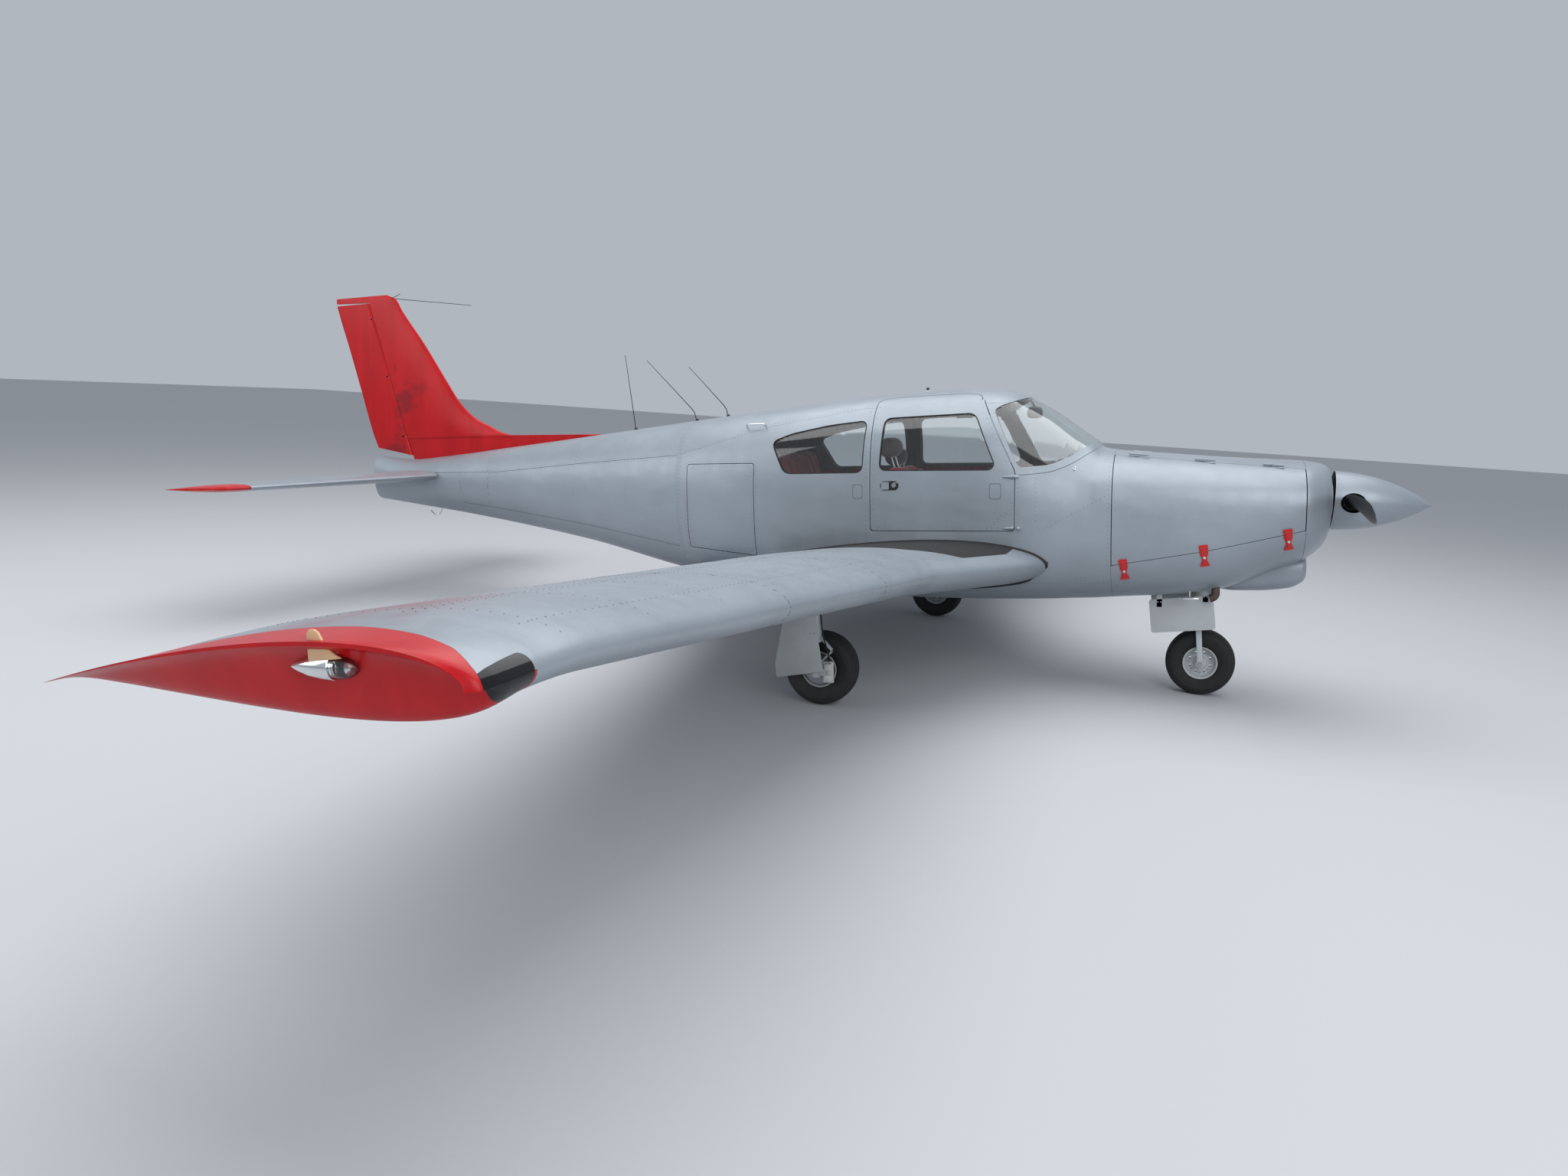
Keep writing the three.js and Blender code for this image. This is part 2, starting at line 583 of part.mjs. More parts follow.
// Where the hinge line crosses a section, and half the wing's thickness there
function hingePoint(y) {
  const ring = wingRing(y, noseAt(y));
  const x = LE_X - HINGE_CHORD * (LE_X - teX(y));
  const i = SECTION.findIndex((_, k) => ring[k + 1][0] <= x);
  const height = (a, b) => a[2] + ((b[2] - a[2]) * (x - a[0])) / (b[0] - a[0]);
  const up = height(ring[i], ring[i + 1]);
  const low = height(ring[ring.length - i], ring[ring.length - i - 1]);
  return { at: new THREE.Vector3(x, y, (up + low) / 2), half: (up - low) / 2 };
}
const wingLoft = (side) => loft(WING.map(([y, nose]) => wingRing(side * y, nose)));
const wingHollow = (side) =>
  loft(
    WING.map(([y, nose], i) =>
      hollowRing(side * (i === 0 ? y - 10 : i === 2 ? y - SHEET : y), nose),
    ),
  );

// A hinge disc on an arm stands in a narrow slot in the moving surface's nose. Both are square
// to the hinge line.
const ARM_HALF = 4;
function hingeArm(at, line, reach, half) {
  const slice = (thick, radius, sides) => {
    const step = line.clone().multiplyScalar(thick);
    return bar(at.clone().sub(step), at.clone().add(step), radius, radius, sides);
  };
  const rod = bar(at, [at.x + reach, at.y, at.z], half * 0.35, half * 0.35, 8);
  return {
    arm: union(slice(ARM_HALF, half * 0.45, 10), rod.intersect(slice(ARM_HALF, 2 * reach, 4))),
    slot: slice(ARM_HALF + KNUCKLE, half + 3, 12),
  };
}

// The ends of a surface, and of its bay, are square to the hinge line, so they keep their gap
// as it turns.
function controlSurface(whole, side, inY, outY, hingeYs) {
  const [a, b] = [hingePoint(side * inY), hingePoint(side * outY)];
  const line = b.at.clone().sub(a.at).normalize();
  const past = (point, distance) => point.at.clone().addScaledVector(line, distance);
  const between = (extra) => bar(past(a, -extra), past(b, extra), 900, 900, 8);
  const aft = (forward) => {
    const [near, far] = [past(a, -200), past(b, 200)];
    return planPrism(
      [
        [near.x + forward(a), near.y], [far.x + forward(b), far.y],
        [far.x - 900, far.y], [near.x - 900, near.y],
      ],
      0, 2000,
    );
  };
  const arms = hingeYs.map((y) => {
    const { half } = hingePoint(side * y);
    const at = past(a, (side * y - a.at.y) / line.y);
    return hingeArm(at, line, half + RUN + 30, half);
  });
  const nose = bar(a.at, b.at, a.half - 1.5, b.half - 1.5, 16);
  return {
    surface: cut(
      union(whole.intersect(aft(() => 0)).intersect(between(0)), nose),
      ...arms.map((one) => one.slot),
    ),
    bay: aft((point) => point.half + RUN).intersect(between(RUN)),
    arms: arms.map((one) => one.arm),
  };
}

// Main gear
const [PARKED_COS, PARKED_SIN] = [Math.cos(PARKED_NOSE_UP), Math.sin(PARKED_NOSE_UP)];
const fromGround = (x, z) => [x * PARKED_COS + z * PARKED_SIN, z * PARKED_COS - x * PARKED_SIN];
const HUB_HEIGHT = TYRE_RADIUS * Math.cos(Math.PI / ROUND);
const [MAIN_X, MAIN_Z] = fromGround(-WHEELBASE, HUB_HEIGHT);
const [NOSE_X, NOSE_Z] = fromGround(0, HUB_HEIGHT);
const LEG_Y = TRACK_HALF + 118;
const WELL = { radius: 245, y: LEG_Y - 590, depth: 90 };

const tipRows = (side) => [
  // y, leading edge, raise of the lower side, length of the trailing spike
  [TIP_CAP_Y, LE_X, 0, 0], [5370, LE_X - 3, 0.22, 15], [5430, LE_X - 8, 0.62, 35],
  [5470, LE_X - 18, 0.92, 50], [HALF_SPAN, LE_X - 42, 0.99, 62],
].map(([y, nose, raise, spike]) => wingRing(side * y, nose, raise, spike));

// The position light: a bullet on the tip's outer face
const navLight = (side) =>
  union(
    bar([-1700, side * 5440, 1250], [-1610, side * 5438, 1252], 8, 24, 12),
    bar([-1610, side * 5438, 1252], [-1555, side * 5436, 1254], 24, 22, 12),
    bar([-1555, side * 5436, 1254], [-1538, side * 5436, 1255], 22, 10, 12),
  );

for (const [name, side] of [["left", 1], ["right", -1]]) {
  const whole = wingLoft(side);
  const flap = controlSurface(whole, side, FLAP_IN_Y, FLAP_OUT_Y, [900, 1850, 2800]);
  const aileron = controlSurface(
    whole, side, FLAP_OUT_Y + 12, AILERON_OUT_Y, [3400, 4050, 4700],
  );
  const wellSpace = (grown) =>
    union(
      bar(
        [MAIN_X, side * WELL.y, 400], [MAIN_X, side * WELL.y, leZ(WELL.y) - 40 + grown],
        WELL.radius + grown, WELL.radius + grown, 20,
      ),
      box(
        MAIN_X - 70 - FIT - grown, MAIN_X + 70 + FIT + grown,
        ...[side * WELL.y, side * (LEG_Y + 40 + grown)].sort((p, q) => p - q),
        400, leZ(WELL.y) - 20 + grown,
      ),
    );
  const hollow = cut(wingHollow(side), wellSpace(SHEET));
  const wing = union(
    cut(whole, hollow, flap.bay, aileron.bay, clearOfBody, wellSpace(0)),
    ...flap.arms, ...aileron.arms,
  );
  add("wing_" + name, wing, PAINT);
  add("wing_tip_" + name, union(loft(tipRows(side)), navLight(side)), RED);
  add("flap_" + name, flap.surface, PAINT);
  add("aileron_" + name, aileron.surface, PAINT);

  // Leg: trunnion in the well's slot, outer and inner oleo tubes, axle and brake caliper
  const y = side * LEG_Y;
  const legTop = 835;
  const axleEnd = side * (TRACK_HALF - 84);
  const caliper = box(MAIN_X + 22, MAIN_X + 92, ...[y - 20, y + 14].sort((p, q) => p - q),
    MAIN_Z - 70, MAIN_Z + 62);
  const leg = union(
    bar([MAIN_X, y, MAIN_Z - 30], [MAIN_X, y, 600], 25, 25, 12),
    bar([MAIN_X, y, 560], [MAIN_X, y, legTop], 37, 37, 14),
    bar([MAIN_X - 70, y, legTop - 24], [MAIN_X + 70, y, legTop - 24], 24, 24, 10),
    bar([MAIN_X, y + side * 14, MAIN_Z], [MAIN_X, axleEnd, MAIN_Z], AXLE_RADIUS, AXLE_RADIUS, 18),
    bar([MAIN_X + 25, y, 575], [MAIN_X + 95, y, 500], 10, 9, 6),
    bar([MAIN_X + 95, y, 500], [MAIN_X + 18, y, 425], 9, 10, 6),
    box(MAIN_X, MAIN_X + 60, y - 10, y + 10, MAIN_Z - 20, MAIN_Z + 20),
    caliper,
  );
  add("main_leg_" + name, leg, WHEEL_GREY);
  const plateY = [y + side * 40, y + side * 43].sort((p, q) => p - q);
  const DOOR_PLATE = [
    [-2082, 766], [-1935, 766], [-1882, 395], [-2152, 350], [-2156, 425],
  ];
  const plate = union(
    sidePrism(DOOR_PLATE, ...plateY),
    bar([MAIN_X, y + side * 37.3, 700], [MAIN_X, y + side * 41, 700], 22, 22, 10),
    bar([MAIN_X, y + side * 37.3, 600], [MAIN_X, y + side * 41, 600], 22, 22, 10),
  );
  add("main_gear_door_" + name, plate, PAINT);
}

// Wheels: a rim with a bore and a tyre, turned about Y
function lathe(profile, x, y, z) {
  const geometry = new THREE.LatheGeometry(
    [...profile, profile[0]].map(([r, w]) => new THREE.Vector2(r, w)), ROUND,
  );
  geometry.rotateY(Math.PI / ROUND);
  // a flat side of the polygon is lowest once the aircraft is parked
  geometry.rotateY(PARKED_NOSE_UP);
  geometry.translate(x, y, z);
  return solid(geometry);
}
const bore = AXLE_RADIUS + 0.7;
const RIM = [
  [bore, -52], [36, -52], [36, -26], [86, -30], [90, -64], [RIM_RADIUS - 6, -56],
  [RIM_RADIUS - 6, 56], [90, 64], [86, 30], [36, 26], [36, 52], [bore, 52],
];
const bead = RIM_RADIUS - 6 + FIT;
const TYRE = [
  [bead, -55], [120, -73], [152, -TYRE_HALF_WIDTH], [187, -61], [TYRE_RADIUS, -24],
  [TYRE_RADIUS, 24], [187, 61], [152, TYRE_HALF_WIDTH], [120, 73], [bead, 55],
];
for (const [name, x, y, z] of [
  ["nose", NOSE_X, 0, NOSE_Z],
  ["left", MAIN_X, TRACK_HALF, MAIN_Z],
  ["right", MAIN_X, -TRACK_HALF, MAIN_Z],
]) {
  add("wheel_" + name, lathe(RIM, x, y, z), WHEEL_GREY);
  add("tyre_" + name, lathe(TYRE, x, y, z), RUBBER);
}

// Nose gear: a fixed outer tube in the well, and a fork that steers with the wheel
const STEER = new THREE.Vector3(-32, 0, 760 - NOSE_Z).normalize();
const onSteer = (z) => [NOSE_X + (STEER.x / STEER.z) * (z - NOSE_Z), 0, z];
const noseLeg = union(
  bar(onSteer(560), onSteer(790), 36, 36, 14),
  bar([onSteer(700)[0], -130, 700], [onSteer(700)[0], 130, 700], 20, 20, 12),
  ...[1, -1].map((side) =>
    bar([onSteer(700)[0], side * 118, 700], [FIREWALL_X + FIT, side * 118, 700], 14, 14, 10),
  ),
);
add("nose_leg", noseLeg, WHEEL_GREY);
const FORK_Y = 99;
const fork = union(
  bar(onSteer(455), onSteer(560 - KNUCKLE), 27, 27, 14),
  box(onSteer(455)[0] - 34, onSteer(455)[0] + 34, -FORK_Y - 8, FORK_Y + 8, 436, 466),
  ...[1, -1].flatMap((side) => [
    bar([onSteer(450)[0], side * FORK_Y, 450], [NOSE_X, side * FORK_Y, NOSE_Z], 17, 13, 10),
    bar([NOSE_X, side * (FORK_Y - 12), NOSE_Z], [NOSE_X, side * (FORK_Y + 14), NOSE_Z], 24, 24, 14),
  ]),
  bar([NOSE_X, -FORK_Y, NOSE_Z], [NOSE_X, FORK_Y, NOSE_Z], AXLE_RADIUS, AXLE_RADIUS, 18),
  box(onSteer(530)[0] - 52, onSteer(530)[0], -40, 40, 515, 535),
);
add("nose_fork", fork, WHEEL_GREY);
for (const [name, side] of [["left", 1], ["right", -1]]) {
  const [y0, y1] = [side * 166, side * 169].sort((p, q) => p - q);
  const outline = [[-281, 602], [82, 636], [101, 430], [-263, 398]];
  const ears = [[-220, 649], [40, 686]].flatMap(([x, z]) => [
    box(x - 16, x + 16, y0, y1, 600, z + 8),
    bar([x, side * 167, z], [x, side * (NOSE_WELL.half - FIT), z], 7, 7, 8),
  ]);
  add("nose_door_" + name, union(sidePrism(outline, y0, y1), ...ears), PAINT);
}

// Exhaust outlet below the tray
const outlet = union(
  bar([60, -232, 626], [118, -232, 636], 30, 30, 16),
  bar([90, -232, 628], [96, -232, 720], 24, 24, 12),
);
add("exhaust", cut(outlet, clearOfBody), STEEL);

// Tail: rear body, fin with dorsal, rudder, and the all-moving tailplane with its tab
const PIVOT = { x: -5640, z: 1418, radius: 30 };
const pivotHole = bar([PIVOT.x, -300, PIVOT.z], [PIVOT.x, 300, PIVOT.z], 31, 31, 24);
// The rear body is hollow behind its bulkhead; the cavity is open through the pivot holes.
const tailHollow = bodyLoft(BULKHEAD_X - 20, TAIL_X + 60, SHEET);
add("tail_cone", cut(bodyLoft(BULKHEAD_X - FIT, TAIL_X, 0), tailHollow, pivotHole), PAINT);

// Fin stations: z, leading edge, trailing edge, half thickness
const FIN = [
  [1470, -4100, -6040, 30],
  [1612, -4060, -6067, 36],
  [1688, -4075, -6090, 37],
  [1706, -4848, -6096, 38],
  [1770, -5010, -6116, 37],
  [1845, -5156, -6135, 36],
  [1970, -5284, -6165, 34],
  [2111, -5377, -6199, 32],
  [2406, -5562, -6273, 27],
  [2674, -5751, -6345, 22],
  [2760, -5800, -6362, 20],
  [2794, -5880, -6362, 12],
];
const FIN_SECTION = [0, 0.05, 0.3, 0.6, 1];
const finHalf = (s) =>
  0.25 + 0.97 * (s < 0.3 ? Math.sqrt(s / 0.3) : 1 - 0.95 * ((s - 0.3) / 0.7) ** 1.4);
function finRing([z, nose, tail, half]) {
  const point = (s, side) => [nose + (tail - nose) * s, side * half * (s === 0 ? 0 : finHalf(s) * 0.8), z];
  return [
    point(0, 1),
    ...FIN_SECTION.slice(1).map((s) => point(s, 1)),
    ...FIN_SECTION.slice(1).reverse().map((s) => point(s, -1)),
  ];
}
const finWhole = loft(FIN.map(finRing));
const rudderAxis = { low: [-5716 - 45, 0, 1552], high: [-6035 - 20, 0, 2729] };
const axisX = (z) =>
  rudderAxis.low[0] +
  ((rudderAxis.high[0] - rudderAxis.low[0]) * (z - rudderAxis.low[2])) /
    (rudderAxis.high[2] - rudderAxis.low[2]);
const RUDDER_NOSE = [27, 16]; // nose radius low and high
const RUDDER_TOP = 2740;
const rudderBottom = (x) => 1566 + (-5716 - x) * 0.2;
const rudderZone = [
  [axisX(1500), 1500], [axisX(RUDDER_TOP), RUDDER_TOP], [-6500, RUDDER_TOP], [-6500, 1500],
];
const belowRudder = [
  [-5000, 1300], [-6500, 1300], [-6500, rudderBottom(-6500)], [-5000, rudderBottom(-5000)],
];
const axisAt = (z) => [axisX(z), 0, z];
const rudderNose = bar(axisAt(1520), axisAt(RUDDER_TOP), RUDDER_NOSE[0], RUDDER_NOSE[1], 14)
  .intersect(box(-7000, -5000, -100, 100, 1500, RUDDER_TOP));
const rudderLine = new THREE.Vector3(
  rudderAxis.high[0] - rudderAxis.low[0], 0, rudderAxis.high[2] - rudderAxis.low[2],
).normalize();
const rudderArms = [1720, 2180, 2620].map((z) => {
  const share = (z - 1520) / (RUDDER_TOP - 1520);
  const radius = RUDDER_NOSE[0] + (RUDDER_NOSE[1] - RUDDER_NOSE[0]) * share;
  return hingeArm(new THREE.Vector3(...axisAt(z)), rudderLine, radius + RUN + 25, radius);
});
const rudder = cut(
  union(finWhole.intersect(sidePrism(rudderZone, -100, 100)), rudderNose),
  sidePrism(belowRudder, -200, 200),
  ...rudderArms.map((one) => one.slot),
);
// The hinge line leans back, so the rudder's tail end rises as it turns.
const RUDDER_RISE = 14;
const rudderBay = sidePrism(
  [
    [axisX(1400) + RUDDER_NOSE[0] + RUN, 1400],
    [axisX(RUDDER_TOP + RUN) + RUDDER_NOSE[1] + RUN, RUDDER_TOP + RUN],
    [-6500, RUDDER_TOP + RUN + RUDDER_RISE],
    [-6500, 1400],
  ],
  -200, 200,
);
add("fin", union(cut(finWhole, rudderBay, clearOfBody), ...rudderArms.map((one) => one.arm)), RED);
add("rudder", rudder, RED);

// Tailplane stations: y, leading edge, trailing edge, half thickness
const TAILPLANE = [
  [0, -5350, -6178, 42],
  [1500, -5575, -6178, 27],
  [1780, -5618, -6178, 24],
  [1870, -5660, -6172, 18],
  [1905, -5740, -6150, 7],
];
function tailRing(side, [y, nose, tail, half]) {
  const point = (s, up) => [
    nose + (tail - nose) * s,
    side * y,
    PIVOT.z + up * Math.max(half * 2 * halfThick(s), s === 1 ? 1.2 : 0),
  ];
  return [
    point(0, 1),
    ...SECTION.slice(1).map((s) => point(s, 1)),
    ...SECTION.slice(1).reverse().map((s) => point(s, -1)),
  ];
}
const TAB_HINGE_X = -6085;
const TAB_HALF_SPAN = 920;
const rootGap = (side) => {
  const points = [-5300, -5500, -5700, -5900, TAIL_X, -6500].map((x) => [
    x, side * (station(Math.max(x, TAIL_X))[1] + RUN + 3),
  ]);
  return planPrism([...points, [-6500, 0], [-5300, 0]], 1000, 2000);
};
const tube = bar(
  [PIVOT.x, -420, PIVOT.z], [PIVOT.x, 420, PIVOT.z], PIVOT.radius, PIVOT.radius, 24,
);
const tailSolid = [1, -1].map((side) => loft(TAILPLANE.map((row) => tailRing(side, row))));
const tabHalf = 10;
const tabAt = (y) => [TAB_HINGE_X, y, PIVOT.z];
const tabArms = [-700, -300, 300, 700].map((y) =>
  hingeArm(new THREE.Vector3(...tabAt(y)), Y, tabHalf + RUN + 14, tabHalf),
);
const tabBay = box(
  -6400, TAB_HINGE_X + tabHalf + RUN, -TAB_HALF_SPAN - RUN, TAB_HALF_SPAN + RUN, 1000, 2000,
);
// Each half is hollow outboard of the tube, with a drain slot into the tab's bay.
const TAIL_SPACE = [[440, -5416, -6178, 37.6], [1500, -5575, -6178, 27], [1780, -5618, -6178, 24]];
const TAIL_SHEET = 8;
const tailSpace = (side) => {
  const rings = TAIL_SPACE.map((row) => {
    const ring = tailRing(side, row);
    const last = SECTION.indexOf(HINGE_CHORD);
    const upper = ring.slice(2, last + 1).map(([x, y, z]) => [x, y, z - TAIL_SHEET]);
    const lower = ring.slice(ring.length - last, -1).map(([x, y, z]) => [x, y, z + TAIL_SHEET]);
    return [...upper, ...lower];
  });
  const [y0, y1] = [side * 740, side * 900].sort((p, q) => p - q);
  return union(loft(rings), box(-6072, -5950, y0, y1, PIVOT.z - 5, PIVOT.z + 5));
};
const halves = tailSolid.map((whole, i) => {
  const side = i ? -1 : 1;
  return cut(whole, rootGap(side), tailSpace(side), tabBay);
});
const tailplane = union(tube, ...halves);
const tabZone = box(-6400, TAB_HINGE_X, -TAB_HALF_SPAN, TAB_HALF_SPAN, 1000, 2000);
const tab = union(
  ...tailSolid.map((whole) => whole.intersect(tabZone)),
  bar(tabAt(-TAB_HALF_SPAN), tabAt(TAB_HALF_SPAN), tabHalf, tabHalf, 12),
);
add("tailplane", union(tailplane, ...tabArms.map((one) => one.arm)), PAINT);
add("trim_tab", cut(tab, ...tabArms.map((one) => one.slot)), PAINT);

// Cabin fittings
const panelTop = (y) => 1478 - 0.00035 * y * y;
const panelOutline = [];
for (let y = -360; y <= 360; y += 90) panelOutline.push([y, panelTop(y)]);
panelOutline.push([400, 1330], [430, 1120], [-430, 1120], [-400, 1330]);
const coaming = frontPrism(
  [...panelOutline.slice(0, 9), ...panelOutline.slice(0, 9).reverse().map(([y, z]) => [y * 0.99, z - 30])],
  -760, -660,
);
const footing = box(FIREWALL_X - 14 - FIT - 200, FIREWALL_X - 14 - FIT, -60, 60, 1150, 1200);
add("instrument_panel", union(frontPrism(panelOutline, -720, -680), coaming, footing), DARK);

for (const [name, side] of [["left", 1], ["right", -1]]) {
  const y = side * 262;
  const wheel = union(
    bar([-721.2, y, 1290], [-860, y, 1300], 12, 12, 10),
    box(-874, -852, y - 120, y + 120, 1290, 1312),
    box(-874, -852, y - 130, y - 108, 1290, 1380),
    box(-874, -852, y + 108, y + 130, 1290, 1380),
  );
  add("control_wheel_" + name, wheel, DARK);

  const back = sidePrism(
    [[-1560, 1110], [-1660, 1120], [-1800, 1545], [-1720, 1560]], y - 230, y + 230,
  );
  const seat = union(
    sidePrism([[-1150, 1010], [-1130, 1090], [-1150, 1150], [-1640, 1130], [-1650, 1000]], y - 235, y + 235),
    back,
    box(-1600, -1200, y - 190, y + 190, FLOOR_TOP + FIT, 1010),
    box(-1778, -1762, y - 60, y + 60, 1540, 1600),
    bar([-1770, y - 110, 1640], [-1770, y + 110, 1640], 62, 62, 16),
  );
  add("front_seat_" + name, seat, SEAT);
}
const rearSeat = union(
  sidePrism([[-2060, 960], [-2040, 1060], [-2060, 1105], [-2480, 1085], [-2500, 940]], -505, 505),
  sidePrism([[-2430, 1060], [-2540, 1060], [-2690, 1520], [-2610, 1530]], -450, 450),
  box(-2460, -2100, -370, 370, FLOOR_TOP + FIT, 960),
);
add("rear_seat", rearSeat, SEAT);

// Parked attitude, with the origin on the ground under the middle of the box
const parked = new THREE.Group();
parked.add(aircraft);
aircraft.rotation.y = -PARKED_NOSE_UP;
parked.updateMatrixWorld(true);
const extent = new THREE.Box3().setFromObject(parked, true);
const middle = extent.getCenter(new THREE.Vector3());
aircraft.position.set(-middle.x, -middle.y, -extent.min.z);

export default parked;
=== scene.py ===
# Light aircraft with a low wing and retractable gear: the looks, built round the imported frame.
# Metres throughout. Pieces are laid out square to the fuselage datum, origin under the nose
# wheel, +X to the nose, and are tipped to the parked attitude when they are fitted.
from bisect import bisect
from math import atan2, copysign, cos, pi, radians, sin, sqrt, tan

import bmesh
import bpy
from mathutils import Matrix, Vector


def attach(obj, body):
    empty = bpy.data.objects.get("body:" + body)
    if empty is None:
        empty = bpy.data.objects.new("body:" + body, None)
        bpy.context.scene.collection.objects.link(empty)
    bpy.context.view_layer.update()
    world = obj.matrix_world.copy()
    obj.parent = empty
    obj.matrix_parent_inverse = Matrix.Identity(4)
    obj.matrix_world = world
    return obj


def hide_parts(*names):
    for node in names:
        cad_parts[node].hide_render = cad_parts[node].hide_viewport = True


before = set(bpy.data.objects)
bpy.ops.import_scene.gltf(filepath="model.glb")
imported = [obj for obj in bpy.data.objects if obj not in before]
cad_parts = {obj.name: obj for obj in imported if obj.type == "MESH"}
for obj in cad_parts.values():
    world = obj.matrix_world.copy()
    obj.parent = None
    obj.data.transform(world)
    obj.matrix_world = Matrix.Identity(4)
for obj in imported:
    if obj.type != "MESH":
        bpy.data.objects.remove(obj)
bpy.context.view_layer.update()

# Camera: stands off the right wing tip and looks back along the body, as the photograph does.
# A wide lens at head height, tipped down and a little out of level.
CAMERA_AT = (2.5374, -7.1084, 1.6646)
YAW, PITCH, ROLL = radians(19.6453), radians(-9.9401), radians(3.3969)
LENS = 36 * 1438.27 / 2048
ahead = Vector((-sin(YAW) * cos(PITCH), cos(YAW) * cos(PITCH), sin(PITCH)))
level = Vector((cos(YAW), sin(YAW), 0))
upright = level.cross(ahead)
right = level * cos(ROLL) + upright * sin(ROLL)
up = upright * cos(ROLL) - level * sin(ROLL)


def in_scene(name, data):
    made = bpy.data.objects.new(name, data)
    bpy.context.scene.collection.objects.link(made)
    return made


camera = in_scene("camera", bpy.data.cameras.new("camera"))
camera.data.lens = LENS
camera.data.clip_end = 200
camera.matrix_world = Matrix.Translation(CAMERA_AT) @ Matrix((right, up, -ahead)).transposed().to_4x4()
bpy.context.scene.camera = camera

# Studio: a pale floor that runs to the edge of view, a pale sky and soft panels overhead,
# so the satin skin shows a light top, a mid side and a dark belly.
def studio_floor():
    bm = bmesh.new()
    bmesh.ops.create_grid(bm, x_segments=1, y_segments=1, size=60)
    mesh = bpy.data.meshes.new("floor")
    bm.to_mesh(mesh)
    bm.free()
    floor = in_scene("floor", mesh)
    paint = bpy.data.materials.new("floor")
    paint.use_nodes = True
    shader = paint.node_tree.nodes["Principled BSDF"]
    shader.inputs["Base Color"].default_value = (0.52, 0.53, 0.55, 1)
    shader.inputs["Roughness"].default_value = 0.9
    mesh.materials.append(paint)


studio_floor()
world = bpy.data.worlds.new("studio")
bpy.context.scene.world = world
world.use_nodes = True
world.node_tree.nodes["Background"].inputs["Color"].default_value = (0.8, 0.86, 0.94, 1)
world.node_tree.nodes["Background"].inputs["Strength"].default_value = 0.55
for name, place, size, power in (
    ("overhead", (0, 0, 9), 12, 900),
    ("front_fill", (7, -9, 6), 7, 420),
    ("tail_fill", (-8, -7, 5), 6, 200),
):
    lamp = bpy.data.lights.new(name, "AREA")
    lamp.size, lamp.energy = size, power
    light = in_scene(name, lamp)
    light.location = place
    light.rotation_euler = (Vector((0, 0, 0.8)) - Vector(place)).to_track_quat("-Z", "Y").to_euler()
bpy.context.scene.view_settings.view_transform = "Standard"

# Body skin: aluminium sheet over frames, in a monocoque that is squarish below and domed above.
# Every panel is a slice of one smooth shell, so they line up; the stations follow the CAD.
ATTITUDE = radians(5.3113)
PARKED = Matrix.Translation((2.7416, 0, 0)) @ Matrix.Rotation(-ATTITUDE, 4, "Y")
# x, half width, bottom, widest height, top, squareness above and below
STATIONS = tuple(sorted((
    (0.692, 0.232, 1.012, 1.190, 1.362, 2.3, 2.3), (0.677, 0.296, 0.962, 1.186, 1.385, 2.3, 2.3),
    (0.640, 0.362, 0.905, 1.178, 1.402, 2.4, 2.3), (0.548, 0.430, 0.838, 1.160, 1.418, 2.5, 2.4),
    (0.400, 0.456, 0.775, 1.145, 1.428, 2.6, 2.4), (0.130, 0.490, 0.670, 1.128, 1.447, 2.7, 2.6),
    (-0.150, 0.512, 0.632, 1.115, 1.472, 2.8, 2.8), (-0.484, 0.535, 0.612, 1.105, 1.504, 2.8, 3.0),
    (-0.560, 0.543, 0.606, 1.105, 1.520, 2.65, 3.0), (-0.605, 0.548, 0.603, 1.105, 1.568, 2.3, 3.0),
    (-0.700, 0.558, 0.600, 1.105, 1.640, 2.15, 3.0), (-0.850, 0.577, 0.594, 1.105, 1.750, 2.15, 3.1),
    (-0.990, 0.590, 0.590, 1.105, 1.830, 2.3, 3.1), (-1.080, 0.594, 0.588, 1.105, 1.874, 2.5, 3.1),
    (-1.180, 0.597, 0.586, 1.105, 1.894, 2.75, 3.1), (-1.350, 0.599, 0.584, 1.105, 1.905, 2.95, 3.1),
    (-1.600, 0.599, 0.584, 1.108, 1.901, 3.0, 3.1), (-1.950, 0.596, 0.592, 1.115, 1.885, 3.0, 3.1),
    (-2.350, 0.583, 0.614, 1.130, 1.852, 2.9, 3.0), (-2.700, 0.562, 0.645, 1.150, 1.821, 2.8, 2.9),
    (-3.240, 0.508, 0.722, 1.195, 1.768, 2.65, 2.8), (-4.100, 0.388, 0.925, 1.282, 1.682, 2.5, 2.6),
    (-4.850, 0.272, 1.062, 1.340, 1.611, 2.4, 2.5), (-5.400, 0.190, 1.148, 1.370, 1.560, 2.4, 2.4),
    (-5.700, 0.147, 1.190, 1.382, 1.541, 2.4, 2.4), (-6.050, 0.100, 1.240, 1.405, 1.584, 2.4, 2.4),
)))
FIREWALL, BULKHEAD, BOWL_SEAM, TAIL_END = -0.484, -3.24, 0.548, -6.05
WALL = 0.045
AROUND = 112
FAR = 9
SIDES = (("left", 1), ("right", -1))


def between(rows, at):
    """The row of a table at one value of its first column, smooth and without overshoot."""
    spot = min(max(bisect([row[0] for row in rows], at), 1), len(rows) - 1)
    a, b = rows[spot - 1], rows[spot]
    step = b[0] - a[0]
    t = min(max((at - a[0]) / step, 0), 1)
    result = [at]
    for column in range(1, len(a)):
        slope = (b[column] - a[column]) / step
        ends = []
        for i in (spot - 1, spot):
            if 0 < i < len(rows) - 1:
                left, right = (
                    (rows[k + 1][column] - rows[k][column]) / (rows[k + 1][0] - rows[k][0])
                    for k in (i - 1, i)
                )
                ends.append(2 * left * right / (left + right) if left * right > 0 else 0)
            else:
                ends.append(slope)
        bend = t * (1 - t)
        line = a[column] + (b[column] - a[column]) * t
        result.append(line + step * bend * ((ends[0] - slope) * (1 - t) - (ends[1] - slope) * t))
    return result


